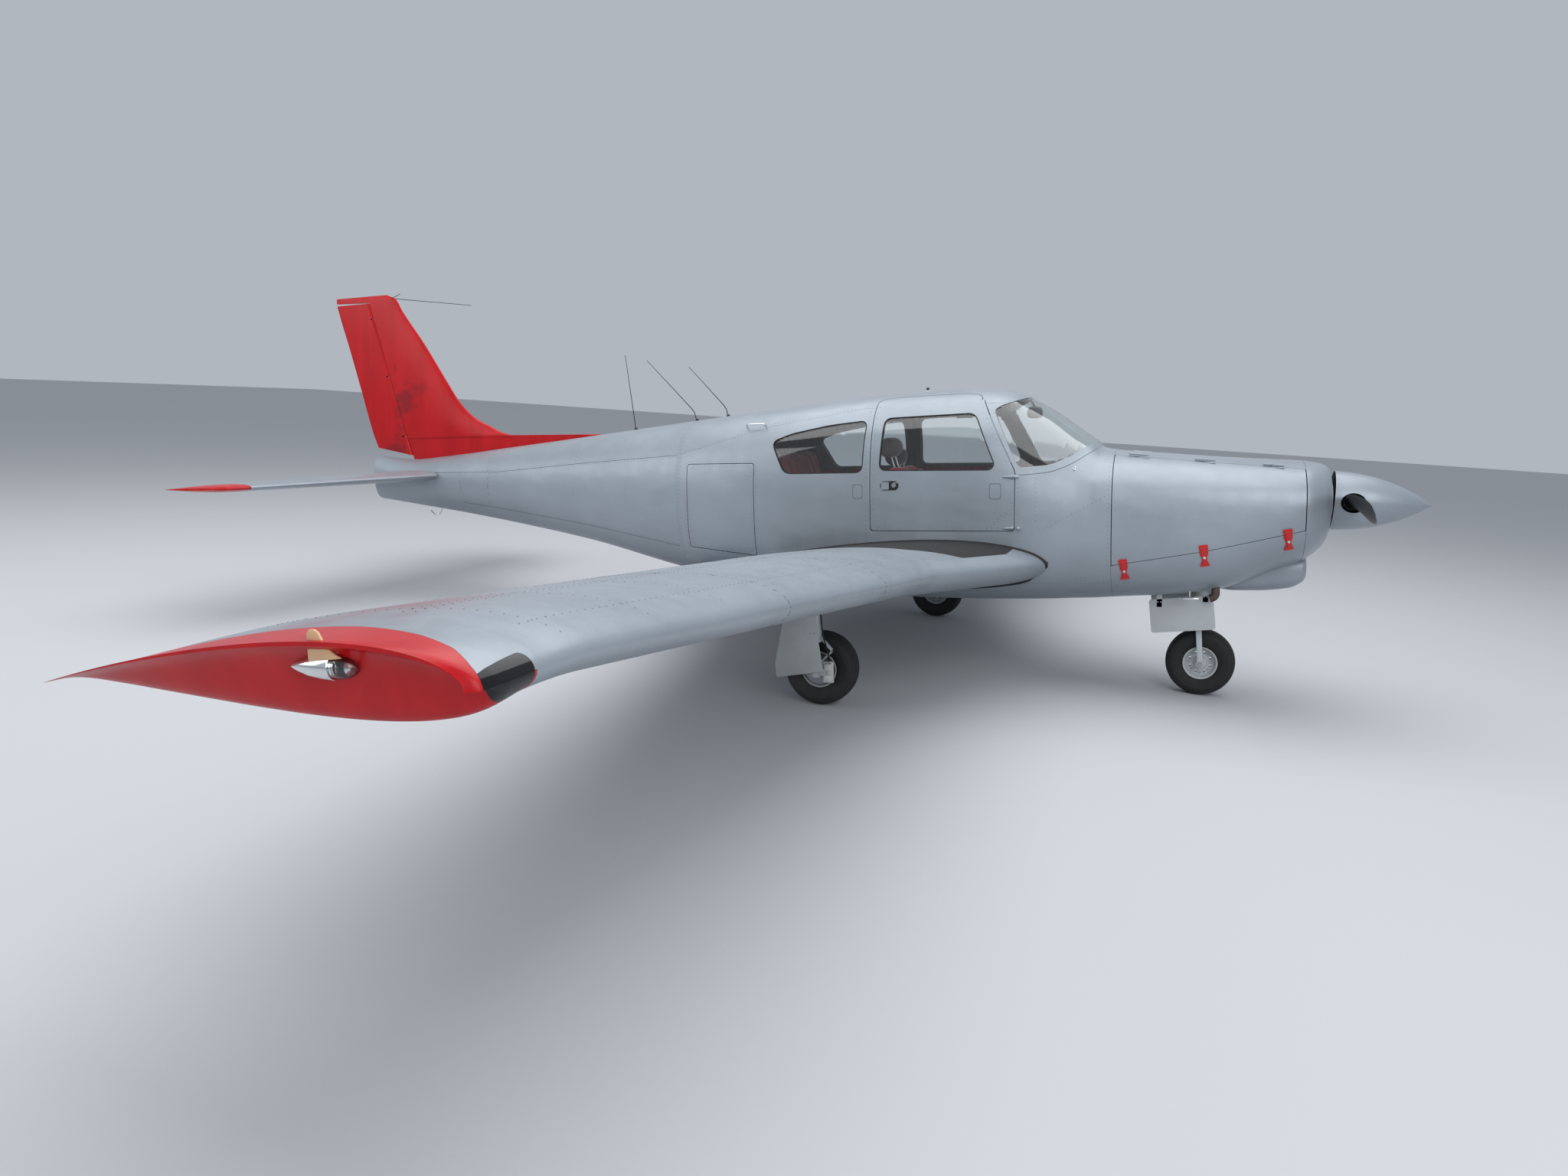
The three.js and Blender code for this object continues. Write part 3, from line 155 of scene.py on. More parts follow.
def body_ring(x, inset=0):
    """The body's outline at a station: a function of the share of the way round, from the right."""
    _, half, bottom, wide, top, above, below = between(STATIONS, x)

    def point(v):
        turn = 2 * pi * v
        high = sin(turn) >= 0
        n = above if high else below
        deep = (top - wide if high else wide - bottom) - inset
        reach = (abs(cos(turn) / (half - inset)) ** n + abs(sin(turn) / deep) ** n) ** (-1 / n)
        return Vector((x, -reach * cos(turn), wide + reach * sin(turn)))

    return point


def stops(front, rear, step=0.03):
    """Stations from front to rear, close together where the nose rounds in."""
    places, x = [front], front
    while x > rear + 1e-6:
        near = 0.006 if x > 0.62 else 0.012 if x > 0.5 or -0.75 < x < -0.47 else step
        x = max(x - near, rear)
        places.append(x)
    return places


def lofted(places, around, ring_at, closed=True):
    """A tube through one ring a place, welded along its seam and closed at its ends."""
    bm = bmesh.new()
    bm.loops.layers.uv.new("UVMap")
    count = len(places) - 1
    bmesh.ops.create_grid(bm, x_segments=count, y_segments=around, size=1, calc_uvs=True)
    rings = [ring_at(place) for place in places]
    for vert in bm.verts:
        vert.co = rings[round((vert.co.x + 1) / 2 * count)]((vert.co.y + 1) / 2)
    if closed:
        bmesh.ops.remove_doubles(bm, verts=bm.verts, dist=1e-5)
        bmesh.ops.holes_fill(bm, edges=[e for e in bm.edges if e.is_boundary], sides=0)
        bmesh.ops.recalc_face_normals(bm, faces=bm.faces)
    return bm


def body_solid(front, rear, inset=0):
    return lofted(stops(front, rear), AROUND, lambda x: body_ring(x, inset))


def skin_level(x, y, z):
    """How far out of the body's middle a place is: 1 on the skin."""
    _, half, bottom, wide, top, above, below = between(STATIONS, x)
    n, deep = (above, top - wide) if z > wide else (below, wide - bottom)
    return (abs(y) / half) ** n + (abs(z - wide) / deep) ** n


def seat_at(x, z, side=-1, out=0.0):
    """A frame on the skin at a place seen from the side: its axes run along, up and outwards."""
    _, half, bottom, wide, top, above, below = between(STATIONS, x)
    n, deep = (above, top - wide) if z > wide else (below, wide - bottom)
    y = side * half * max(1 - (abs(z - wide) / deep) ** n, 1e-6) ** (1 / n)
    e = 1e-4
    away = Vector((
        skin_level(x + e, y, z) - skin_level(x - e, y, z),
        skin_level(x, y + e, z) - skin_level(x, y - e, z),
        skin_level(x, y, z + e) - skin_level(x, y, z - e),
    )).normalized()
    along = (Vector((-side, 0, 0)) + away * away.x * side).normalized()
    frame_axes = Matrix((along, away.cross(along), away)).transposed().to_4x4()
    return Matrix.Translation(Vector((x, y, z)) + away * out) @ frame_axes


def oblong(a0, a1, b0, b1):
    """The corners of a rectangle."""
    return (a0, b0), (a1, b0), (a1, b1), (a0, b1)


def slab(outline, low, high, axis="Y", corner=0):
    """An outline given in the two other axes, carried from low to high along one axis."""
    bm = bmesh.new()
    order = {"X": (2, 0, 1), "Y": (0, 2, 1), "Z": (0, 1, 2)}[axis]

    def lay(a, b, along):
        three = (a, b, along)
        return tuple(three[order[i]] for i in range(3))

    face = bm.faces.new([bm.verts.new(lay(a, b, low)) for a, b in outline])
    made = bmesh.ops.extrude_face_region(bm, geom=[face])
    moved = [v for v in made["geom"] if isinstance(v, bmesh.types.BMVert)]
    bmesh.ops.translate(bm, vec=Vector(lay(0, 0, high - low)), verts=moved)
    bmesh.ops.recalc_face_normals(bm, faces=bm.faces)
    if corner:
        way = Vector(lay(0, 0, 1))
        edges = [e for e in bm.edges if abs((e.verts[0].co - e.verts[1].co).normalized().dot(way)) > 0.9]
        bmesh.ops.bevel(
            bm, geom=edges, offset=corner, segments=6, profile=0.5, affect="EDGES", material=-1
        )
    return bm


def evaluated(blank):
    """A new mesh of an object as its modifiers leave it."""
    seen = blank.evaluated_get(bpy.context.evaluated_depsgraph_get())
    return bpy.data.meshes.new_from_object(seen)


def combine(bm, how, *tools):
    """Cuts, keeps or joins a solid with others: how is DIFFERENCE, INTERSECT or UNION."""
    blanks = []
    for one in (bm, *tools):
        mesh = bpy.data.meshes.new("blank")
        one.to_mesh(mesh)
        blanks.append(in_scene("blank", mesh))
    for tool in blanks[1:]:
        step = blanks[0].modifiers.new("step", "BOOLEAN")
        step.operation, step.solver, step.object = how, "MANIFOLD", tool
    done = evaluated(blanks[0])
    result = bmesh.new()
    result.from_mesh(done)
    bpy.data.meshes.remove(done)
    for blank in blanks:
        mesh = blank.data
        bpy.data.objects.remove(blank)
        bpy.data.meshes.remove(mesh)
    if not result.faces:
        raise ValueError("a cut left nothing")
    return result


def cut(bm, *tools):
    return combine(bm, "DIFFERENCE", *tools)


def shared(bm, *tools):
    return combine(bm, "INTERSECT", *tools)


def placed(bm, matrix):
    bmesh.ops.transform(bm, matrix=matrix, verts=bm.verts)
    return bm


def joined(*parts):
    """Several solids as one mesh."""
    whole = bmesh.new()
    for part in parts:
        blank = bpy.data.meshes.new("blank")
        part.to_mesh(blank)
        part.free()
        whole.from_mesh(blank)
        bpy.data.meshes.remove(blank)
    return whole


def fit(name, bm, finish, body="airframe", stands_for=None, crease=32):
    """Makes a piece, tips it to the parked attitude and fixes it to its body.

    A list of solids is joined first. A finish is a material, or several, and the name of a slot, which is
    not used.
    """
    bm = placed(joined(*bm) if isinstance(bm, list) else bm, PARKED)
    mesh = bpy.data.meshes.new(name)
    bm.to_mesh(mesh)
    bm.free()
    materials, slot = finish
    for one in materials if isinstance(materials, list) else [materials]:
        mesh.materials.append(one)
    mesh.shade_smooth()
    mesh.set_sharp_from_angle(angle=radians(crease))
    piece = in_scene(name, mesh)
    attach(piece, body)
    if stands_for:
        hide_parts(stands_for)
    return piece


def node(tree, kind, inputs=None, **settings):
    """One shader node, with its settings and with its inputs set to values or linked to sockets."""
    made = tree.nodes.new("ShaderNode" + kind)
    for key, value in settings.items():
        setattr(made, key, value)
    for key, value in (inputs or {}).items():
        socket = made.inputs[key]
        if isinstance(value, bpy.types.NodeSocket):
            tree.links.new(value, socket)
        else:
            socket.default_value = value
    return made


def finish_of(name, **values):
    """A new material with its Principled shader's plain values set; gives material, tree, shader."""
    made = bpy.data.materials.new(name)
    made.use_nodes = True
    shader = made.node_tree.nodes["Principled BSDF"]
    for key, value in values.items():
        shader.inputs[key.replace("_", " ")].default_value = value
    return made, made.node_tree, shader


def feed(shader, **sockets):
    """Links what changes over the surface to a shader's sockets."""
    for key, value in sockets.items():
        shader.id_data.links.new(value, shader.inputs[key.replace("_", " ")])


def ramp(tree, factor, low, high, from_min=0.0, from_max=1.0):
    """Maps a value from one range to another."""
    return node(tree, "MapRange", {
        "Value": factor, "From Min": from_min, "From Max": from_max, "To Min": low, "To Max": high,
    }).outputs["Result"]


def tint(tree, factor, one, other):
    """A colour between two, by a factor."""
    return node(tree, "Mix", {0: factor, 6: one, 7: other}, data_type="RGBA").outputs[2]


def waves_group():
    """Sheet metal that isn't quite flat: long soft waves between frames, and small dents."""
    group = bpy.data.node_groups.new("sheet_waves", "ShaderNodeTree")
    for label in ("Long", "Small"):
        group.interface.new_socket(label, in_out="INPUT", socket_type="NodeSocketFloat")
    group.interface.new_socket("Normal", in_out="OUTPUT", socket_type="NodeSocketVector")
    entry, leave = group.nodes.new("NodeGroupInput"), group.nodes.new("NodeGroupOutput")
    where = node(group, "TexCoord").outputs["Object"]
    stretch = node(group, "Mapping", {"Vector": where, "Scale": (0.8, 1.2, 1.5)}).outputs[0]
    long = node(group, "TexNoise", {"Vector": stretch, "Scale": 3.2, "Detail": 1.5}).outputs[0]
    small = node(group, "TexNoise", {"Vector": where, "Scale": 21.0, "Detail": 2.0}).outputs[0]
    first = node(group, "Bump", {"Height": long, "Strength": entry.outputs["Long"], "Distance": 0.02})
    second = node(group, "Bump", {
        "Height": small, "Strength": entry.outputs["Small"], "Distance": 0.002,
        "Normal": first.outputs[0],
    })
    group.links.new(second.outputs[0], leave.inputs["Normal"])
    return group


def grime_group():
    """Weathering on painted sheet: a wide blotch, fine speckle and streaks that run down."""
    group = bpy.data.node_groups.new("weathering", "ShaderNodeTree")
    for label in ("Blotch", "Speckle", "Streak"):
        group.interface.new_socket(label, in_out="OUTPUT", socket_type="NodeSocketFloat")
    leave = group.nodes.new("NodeGroupOutput")
    where = node(group, "TexCoord").outputs["Object"]
    blotch = node(group, "TexNoise", {"Vector": where, "Scale": 1.7, "Detail": 5.0, "Roughness": 0.6})
    speckle = node(group, "TexNoise", {"Vector": where, "Scale": 260.0, "Detail": 3.0})
    flow = node(group, "Mapping", {"Vector": where, "Scale": (14, 14, 0.9)}).outputs[0]
    streak = node(group, "TexNoise", {"Vector": flow, "Scale": 1.0, "Detail": 3.0})
    for label, texture in (("Blotch", blotch), ("Speckle", speckle), ("Streak", streak)):
        group.links.new(texture.outputs[0], leave.inputs[label])
    return group


SHEET_WAVES, WEATHERING = waves_group(), grime_group()


def weather(tree):
    return node(tree, "Group", node_tree=WEATHERING).outputs


def wavy(tree, long, small):
    return node(tree, "Group", {"Long": long, "Small": small}, node_tree=SHEET_WAVES).outputs["Normal"]


def grey_paint(name="grey_paint", light=(0.325, 0.365, 0.405, 1), dark=(0.285, 0.32, 0.355, 1)):
    """Satin blue-grey paint sprayed over old sheet: soft blotches and a slightly uneven sheen."""
    made, tree, shader = finish_of(name, Metallic=0.35, IOR=1.5)
    worn = weather(tree)
    wide = ramp(tree, worn["Blotch"], 0, 1, 0.35, 0.65)
    base = tint(tree, wide, dark, light)
    fine = ramp(tree, worn["Speckle"], -0.06, 0.06, 0.3, 0.7)
    rough = node(tree, "Math", {0: ramp(tree, worn["Streak"], 0.34, 0.45, 0.3, 0.7), 1: fine},
        operation="ADD")
    feed(shader, Base_Color=base, Roughness=rough.outputs[0], Normal=wavy(tree, 0.5, 0.25))
    return made


def lining_cloth():
    """Trim cloth on the cabin walls, sewn in upright pleats: red below the windows, taupe above."""
    made, tree, shader = finish_of("lining_cloth", Roughness=0.85, Sheen_Weight=0.3)
    where = node(tree, "TexCoord").outputs["Object"]
    pleat = node(tree, "TexWave", {"Vector": where, "Scale": 7.0, "Distortion": 0.3}, bands_direction="X")
    weave = node(tree, "TexNoise", {"Vector": where, "Scale": 900.0, "Detail": 2.0}).outputs[0]
    red = tint(tree, weave, (0.17, 0.012, 0.022, 1), (0.3, 0.025, 0.038, 1))
    taupe = tint(tree, weave, (0.06, 0.052, 0.052, 1), (0.105, 0.092, 0.092, 1))
    across = (-sin(ATTITUDE), 0, cos(ATTITUDE))
    height = node(tree, "VectorMath", {0: where, 1: across}, operation="DOT_PRODUCT").outputs["Value"]
    bump = node(tree, "Bump", {"Height": pleat.outputs["Fac"], "Strength": 0.6, "Distance": 0.01})
    feed(shader, Base_Color=tint(tree, ramp(tree, height, 0, 1, 1.135, 1.15), red, taupe),
         Normal=bump.outputs[0])
    return made


def aged(name, rough, tones=(), blotch=(1,), mask="Speckle", waves=None, grain=None, **values):
    """A worn finish: an uneven sheen, two tones in blotches, and a wavy or grainy surface."""
    made, tree, shader = finish_of(name, **values)
    worn = weather(tree)
    if tones:
        tones = [(*tone, 1) for tone in tones]
        base = tint(tree, ramp(tree, worn["Blotch"], 0, *blotch), *tones)
        feed(shader, Base_Color=base)
    feed(shader, Roughness=ramp(tree, worn[mask], *rough))
    if waves:
        feed(shader, Normal=wavy(tree, *waves))
    if grain:
        strength, deep = grain
        bump = node(tree, "Bump", {"Height": worn["Speckle"], "Strength": strength, "Distance": deep})
        feed(shader, Normal=bump.outputs[0])
    return made


PAINT = grey_paint(), "skin_paint"
# Black rubber for sealing strips and dark joints. The same black is also painted shade on cut edges in the
# gaps round doors and windows, in the door handle's recess and inside the spinner
SEAL_AND_SHADE = aged("rubber_seal_and_shade", (0.55, 0.85), Base_Color=(0.012, 0.012, 0.013, 1)), "tyre"
TRIMMED = [PAINT[0], lining_cloth(), SEAL_AND_SHADE[0]], "skin_paint"

# Outlines of the openings and seams, seen from the side: x, z
DOOR_TOP_Y = 0.3  # the door wraps round the shoulder of the roof as far as this
CABIN_DOOR = (
    (-1.897, 1.056), (-1.026, 1.056), (-1.026, 1.400), (-1.250, 1.851), (-1.250, 2.0), (-1.897, 2.0),
)
DOOR_WINDOW = ((-1.845, 1.418), (-1.165, 1.411), (-1.14, 1.445), (-1.271, 1.752), (-1.829, 1.737))
REAR_WINDOW = (
    (-2.469, 1.406), (-1.948, 1.407), (-1.935, 1.728), (-2.189, 1.704), (-2.432, 1.660), (-2.570, 1.611),
)
WINDSHIELD = (
    (-1.011, 1.417), (-0.832, 1.430), (-0.732, 1.469), (-0.596, 1.555), (-0.560, 1.700),
    (-0.850, 1.900), (-1.002, 1.838), (-1.178, 1.774),
)
BAGGAGE_DOOR = ((-3.168, 0.935), (-2.681, 0.885), (-2.681, 1.475), (-3.168, 1.475))
ROOF_SEAM = ((-1.24, 1.806), (-1.96, 1.8), (-2.6, 1.705), (-3.241, 1.54))
BELLY_SEAM = ((-0.483, 0.735), (-2.0, 0.735), (-2.731, 0.838), (-3.241, 0.893))
GAP = 0.004  # round doors and hatches
LAP = 0.0008  # at the joints between panels
DOOR_SKIN = 0.004
FLOOR_TOP = 0.77


def shifted(outline, by):
    """An outline with every edge moved outwards, inwards if the distance is negative."""
    points = [Vector(point) for point in outline]
    turning = sum(a.cross(b) for a, b in zip(points, points[1:] + points[:1]))
    moved = []
    for i, here in enumerate(points):
        before, after = points[i - 1], points[(i + 1) % len(points)]
        first, second = (here - before).normalized(), (after - here).normalized()
        out = [Vector((way.y, -way.x)) * (by if turning > 0 else -by) for way in (first, second)]
        miter = (out[0] + out[1]) / (1 + first.dot(second))
        moved.append(tuple(here + miter))
    return moved


# Cabin shell: skin, frames and trim as one wall 45 mm thick, with the floor over the spar and
# the belly. Roof, belly and sides are cut from it at the real lap joints.
def lined(bm):
    """Gives faces that look into the cabin the second finish, and cut edges the third: black, as painted
    shade in the gaps.
    """
    for face in bm.faces:
        middle, e = face.calc_center_median(), 1e-4
        away = Vector((0, *(skin_level(middle.x, middle.y + dy, middle.z + dz)
            - skin_level(middle.x, middle.y - dy, middle.z - dz)
            for dy, dz in ((e, 0), (0, e))))).normalized()
        out, end = face.normal.dot(away), middle.x > FIREWALL - 0.1 or middle.x < BULKHEAD + 0.1
        if out < -0.6 or (end and abs(face.normal.x) > 0.9):
            face.material_index = 1
        elif out < 0.4:
            # Cut edges take the black: painted shade in the gaps round doors, hatches and windows.
            face.material_index = 2
    return bm


def half_space(side):
    return slab(oblong(-FAR, FAR, -FAR, FAR), *sorted((0, side * FAR)))


def hole(outline, side, by=0, corner=0.045, inner=0.1):
    """A block through one side wall, following an outline moved outwards by a distance."""
    return slab(shifted(outline, by), *sorted((side * (inner - by), side * FAR)), corner=corner)


def door_block(by):
    """The cabin door's block, with its top corners, which lie on the roof, rounded in plan."""
    block = hole(CABIN_DOOR, -1, by, 0.02, DOOR_TOP_Y)
    reach = 0.06 + by
    for x, way in ((-1.31, 1), (-1.837, -1)):
        arc = [(x + way * reach * cos(pi * k / 16), reach * sin(pi * k / 16) - 0.36) for k in range(9)]
        far = (x + way * (reach + 0.03), reach - 0.33)
        corner = slab([(far[0], -0.36), *arc, (x, far[1]), far], 1.78, 2.1, "Z")
        block = cut(block, corner)
    return block


SHELL = body_solid(FIREWALL + 0.01, BULKHEAD - 0.01, WALL)
for vert in SHELL.verts:
    vert.co.z = max(vert.co.z, FLOOR_TOP)
SHELL = cut(body_solid(FIREWALL, BULKHEAD), SHELL)
above = slab([*ROOF_SEAM, (-3.3, 2.1), (-0.4, 2.1), (-0.4, 1.806)], -FAR, FAR)
above_lap = slab(shifted([*ROOF_SEAM, (-3.3, 2.1), (-0.4, 2.1), (-0.4, 1.806)], LAP), -FAR, FAR)
under = slab([*BELLY_SEAM, (-3.3, 0.4), (-0.4, 0.4)], -FAR, FAR)
under_lap = slab(shifted([*BELLY_SEAM, (-3.3, 0.4), (-0.4, 0.4)], LAP), -FAR, FAR)
screen_block = slab(WINDSHIELD, -FAR, FAR, corner=0.03)
doorway = door_block(GAP)
walls = cut(SHELL, above_lap, under_lap, screen_block)
roof = cut(shared(SHELL, above), screen_block, doorway)
belly = shared(SHELL, under)
fit("roof_skin", lined(roof), TRIMMED, stands_for="roof_panel")
fit("belly_skin", lined(belly), TRIMMED, stands_for="belly_panel")
for name, side in SIDES:
    holes = [hole(REAR_WINDOW, side)]
    if side > 0:
        holes.append(hole(DOOR_WINDOW, side))
    else:
        holes += [doorway, hole(BAGGAGE_DOOR, side, GAP, 0.02)]
    wall = cut(shared(walls, half_space(side)), *holes)
    fit("side_skin_" + name, lined(wall), TRIMMED, stands_for="side_panel_" + name)

# Doors: an outer skin to the edge of the opening and, set back behind it so that it swings clear
# of the frame, the trimmed inner structure. The cabin door's top wraps over the shoulder.
DOOR_SHEET = cut(body_solid(FIREWALL, BULKHEAD),
                 body_solid(FIREWALL + 0.01, BULKHEAD - 0.01, DOOR_SKIN))
DOOR_CORE = shared(SHELL, body_solid(FIREWALL, BULKHEAD, DOOR_SKIN / 2))
door = shared(DOOR_SHEET, door_block(0))
core = shared(DOOR_CORE, door_block(-0.03))
door = cut(combine(door, "UNION", core), hole(DOOR_WINDOW, -1))
fit("cabin_door_skin", lined(door), TRIMMED, "cabin_door", "cabin_door")
hatch = shared(DOOR_SHEET, hole(BAGGAGE_DOOR, -1, 0, 0.016))
core = shared(DOOR_CORE, hole(BAGGAGE_DOOR, -1, -0.01, 0.016))
hatch = combine(hatch, "UNION", core)
fit("baggage_door_skin", lined(hatch), TRIMMED, "baggage_door", "baggage_door")


# Windows: clear acrylic sheet, 5 mm thick, bedded in the frames a little inside the skin on a
# black sealing strip, which shows as a thin line round each opening.
def pipe(points, radius, sides=10, loop=False):
    """A round tube along points; each may carry its own radius as a list beside them."""
    points = [Vector(point) for point in points]
    count = len(points)
    sizes = radius if isinstance(radius, (list, tuple)) else [radius] * count
    ways = []
    for i in range(count):
        before = points[i - 1] if i or loop else points[0]
        after = points[(i + 1) % count] if i + 1 < count or loop else points[-1]
        ways.append((after - before).normalized())
    side = ways[0].orthogonal().normalized()
    frames = []
    for way in ways:
        side = (side - way * side.dot(way)).normalized()
        frames.append((side, way.cross(side)))
    if loop:
        frames.append(frames[0])
        points.append(points[0])
        sizes = [*sizes, sizes[0]]

    def ring(i):
        here, (one, two), size = points[i], frames[i], sizes[i]
        return lambda v: here + (one * cos(2 * pi * v) - two * sin(2 * pi * v)) * size

    if loop and len(frames) > 2:
        last = (frames[-2][0] - ways[0] * frames[-2][0].dot(ways[0])).normalized()
        slip = atan2(last.dot(frames[0][1]), last.dot(frames[0][0]))
        for i in range(count):
            one, two = frames[i]
            turn = -slip * i / count
            frames[i] = (one * cos(turn) + two * sin(turn), two * cos(turn) - one * sin(turn))
    return lofted(range(len(points)), sides, ring)


def curve(points, pieces=6, loop=False):
    """A smooth line through points."""
    points = [Vector(point) for point in points]
    count = len(points)
    line = []
    for i in range(count if loop else count - 1):
        p = [points[k % count] if loop else points[min(max(k, 0), count - 1)] for k in range(i - 1, i + 3)]
        for k in range(pieces):
            t = k / pieces
            line.append(0.5 * (
                2 * p[1] + (p[2] - p[0]) * t + (2 * p[0] - 5 * p[1] + 4 * p[2] - p[3]) * t * t
                + (3 * p[1] - p[0] - 3 * p[2] + p[3]) * t ** 3
            ))
    return line if loop else [*line, points[-1]]


def walk(line, step):
    """Places along a broken line, about one step apart, both ends included."""
    line = [Vector(point) for point in line]
    places = [line[0]]
    for a, b in zip(line, line[1:]):
        count = max(round((b - a).length / step), 1)
        places += [a.lerp(b, (k + 1) / count) for k in range(count)]
    return places


def rounded(outline, radius, pieces=4):
    """An outline with its corners turned into arcs."""
    points = [Vector(point) for point in outline]
    result = []
    for i, here in enumerate(points):
        before, after = points[i - 1], points[(i + 1) % len(points)]
        reach = min(radius, (here - before).length / 2.2, (after - here).length / 2.2)
        a = here + (before - here).normalized() * reach
        b = here + (after - here).normalized() * reach
        for k in range(pieces + 1):
            t = k / pieces
            result.append(a * (1 - t) ** 2 + here * 2 * t * (1 - t) + b * t * t)
    return result


def beading(outline, side, radius, corner=0.045, out=0.0):
    """A round strip laid on the skin round an outline."""
    flat = rounded(outline, corner)
    places = walk([*flat, flat[0]], 0.05)[:-1]
    return pipe([seat_at(x, z, side, out).translation for x, z in places], radius, 6, loop=True)


ACRYLIC = finish_of(
    "clear_acrylic", Roughness=0.03, IOR=1.49, Transmission_Weight=1.0, Base_Color=(0.93, 0.97, 0.97, 1),
)[0], "clear"
GLASS = cut(body_solid(FIREWALL, BULKHEAD, 0.002), body_solid(FIREWALL + 0.01, BULKHEAD - 0.01, 0.007))
for name, outline, side, body in (
    ("door_window", DOOR_WINDOW, -1, "cabin_door"), ("window_left_front", DOOR_WINDOW, 1, "airframe"),
    ("window_left_rear", REAR_WINDOW, 1, "airframe"), ("window_right_rear", REAR_WINDOW, -1, "airframe"),
):
    pane = shared(GLASS, hole(outline, side, -0.0003))
    fit(name + "_pane", pane, ACRYLIC, body, name)
    strip = beading(shifted(outline, -0.003), side, 0.0035, out=-0.001)
    fit(name + "_seal", strip, SEAL_AND_SHADE, body)
screen = shared(GLASS, slab(shifted(WINDSHIELD, -0.0003), -FAR, FAR, corner=0.03))
fit("windshield_pane", screen, ACRYLIC, stands_for="windshield")


# Nose bowl: pressed aluminium round the spinner, painted outside. Each cheek has an inlet with a
# rolled lip and a short duct, whose inside exhaust heat has stained brown.
SHEET = 0.005
INLET = (
    (0.105, 1.120), (0.185, 1.105), (0.228, 1.160), (0.228, 1.235), (0.190, 1.290), (0.110, 1.285),
)


def inner_faces(bm, level=0.985):
    """Gives the second finish to the faces under the skin."""
    for face in bm.faces:
        middle = face.calc_center_median()
        if skin_level(*middle) < level:
            face.material_index = 1
    return bm


def front_x(y, z):
    """Where the bowl's front is, at a place seen from ahead."""
    low, high = BOWL_SEAM, STATIONS[-1][0]
    for _ in range(24):
        middle = (low + high) / 2
        low, high = (middle, high) if skin_level(middle, y, z) < 1 else (low, middle)
    return low


def turned(profile, start, way, sides=24):
    """A solid turned round a line: the profile is (distance along the line, radius)."""
    start, way = Vector(start), Vector(way).normalized()
    one = way.orthogonal().normalized()
    two = way.cross(one)

    def ring(i):
        along, radius = profile[i]
        return lambda v: start + way * along + (one * cos(2 * pi * v) + two * sin(2 * pi * v)) * radius

    return lofted(range(len(profile)), sides, ring)


def stained_metal():
    """Metal that exhaust heat and oil have turned brown and grey."""
    return aged("stained_metal", (0.45, 0.8, 0.3, 0.7), ((0.1, 0.045, 0.025), (0.16, 0.15, 0.145)),
                (1, 0.35, 0.65), Metallic=0.7)


STAINED = stained_metal(), "skin_paint"
COWL_SKIN = [PAINT[0], STAINED[0]], "skin_paint"
FRONT = STATIONS[-1][0]
bowl = cut(body_solid(FRONT, BOWL_SEAM), body_solid(FRONT - 0.006, BOWL_SEAM - 0.01, SHEET))
shaft = turned([(0, 0), (0, 0.07), (0.2, 0.07), (0.2, 0)], (0.55, 0, 1.197), (1, 0, -0.066), 40)
ports = {side: [(side * y, z) for y, z in INLET] for side in (1, -1)}
bowl = cut(bowl, shaft, *(
    slab(port, 0.56, 0.72, "X", corner=0.024) for port in ports.values()
))
fit("nose_bowl_skin", inner_faces(bowl), COWL_SKIN, stands_for="nose_bowl")
bay = body_solid(FRONT - 0.004, BOWL_SEAM, SHEET - 0.001)
for name, side in SIDES:
    edge = [Vector((front_x(y, z) - 0.003, y, z)) for y, z in rounded(ports[side], 0.034)]
    fit("inlet_lip_" + name, pipe(curve(edge, 2, True), 0.007, 8, loop=True), PAINT)
    outer = slab(shifted(ports[side], 0.004), 0.585, 0.7, "X", corner=0.026)
    duct = cut(shared(outer, bay), slab(shifted(ports[side], 0.001), 0.57, 0.72, "X", corner=0.024))
    fit("inlet_duct_" + name, duct, STAINED)

# Cowl sheets: a fixed top, two side doors that hang from it and a lower tray. Aluminium 5 mm
# thick here, with edges 2 to 4 mm apart so the joints read as thin dark lines.
PART_LINE = ((-0.484, 0.846), (0.019, 0.93), (0.548, 1.046))
TOP_HALF = 0.275
COWL = cut(body_solid(BOWL_SEAM - 0.0015, FIREWALL + 0.0015), body_solid(BOWL_SEAM, FIREWALL, SHEET))


def below_line(up):
    """Everything under the joint between the side doors and the tray."""
    line = [(x, z + up) for x, z in PART_LINE]
    return slab([(-0.6, 0.3), (-0.6, line[0][1]), *line, (0.7, line[-1][1]), (0.7, 0.3)], -FAR, FAR)


def long_box(half, low, high, x0=-0.6, x1=0.7):
    return slab(oblong(-half, half, low, high), x0, x1, "X")


top = shared(COWL, long_box(TOP_HALF, 1.2, 2))
fit("cowl_top_skin", inner_faces(top), COWL_SKIN, stands_for="cowl_top")
flank = cut(COWL, below_line(0.003), long_box(TOP_HALF + 0.003, 1.2, 2))
flank = shared(flank, long_box(FAR, 0.3, 2, FIREWALL + 0.005, BOWL_SEAM - 0.005))
for name, side in SIDES:
    sheet = shared(flank, half_space(side))
    door = "cowl_door_" + name
    fit("cowl_door_skin_" + name, inner_faces(sheet), COWL_SKIN, door, door)

# Tray: the cowl's belly, slotted for the nose wheel, with the chin scoop pressed out of it. The
# scoop's mouth opens forward below the nose bowl and feeds the oil cooler.
CHIN = (
    (0.120, 0.090, 0.662, 0.700), (0.190, 0.140, 0.654, 0.760), (0.330, 0.172, 0.656, 0.860),
    (0.490, 0.178, 0.674, 0.880), (0.565, 0.168, 0.712, 0.880), (0.579, 0.150, 0.735, 0.868),
)


def chin_solid(places, inset=0):
    def ring(x):
        _, half, low, high = between(CHIN, x)
        middle, deep = (low + high) / 2, (high - low) / 2 - inset

        def point(v):
            turn = 2 * pi * v
            reach = (abs(cos(turn) / (half - inset)) ** 3 + abs(sin(turn) / deep) ** 3) ** (-1 / 3)
            return Vector((x, -reach * cos(turn), middle + reach * sin(turn)))

        return point

    return lofted(places, 56, ring)


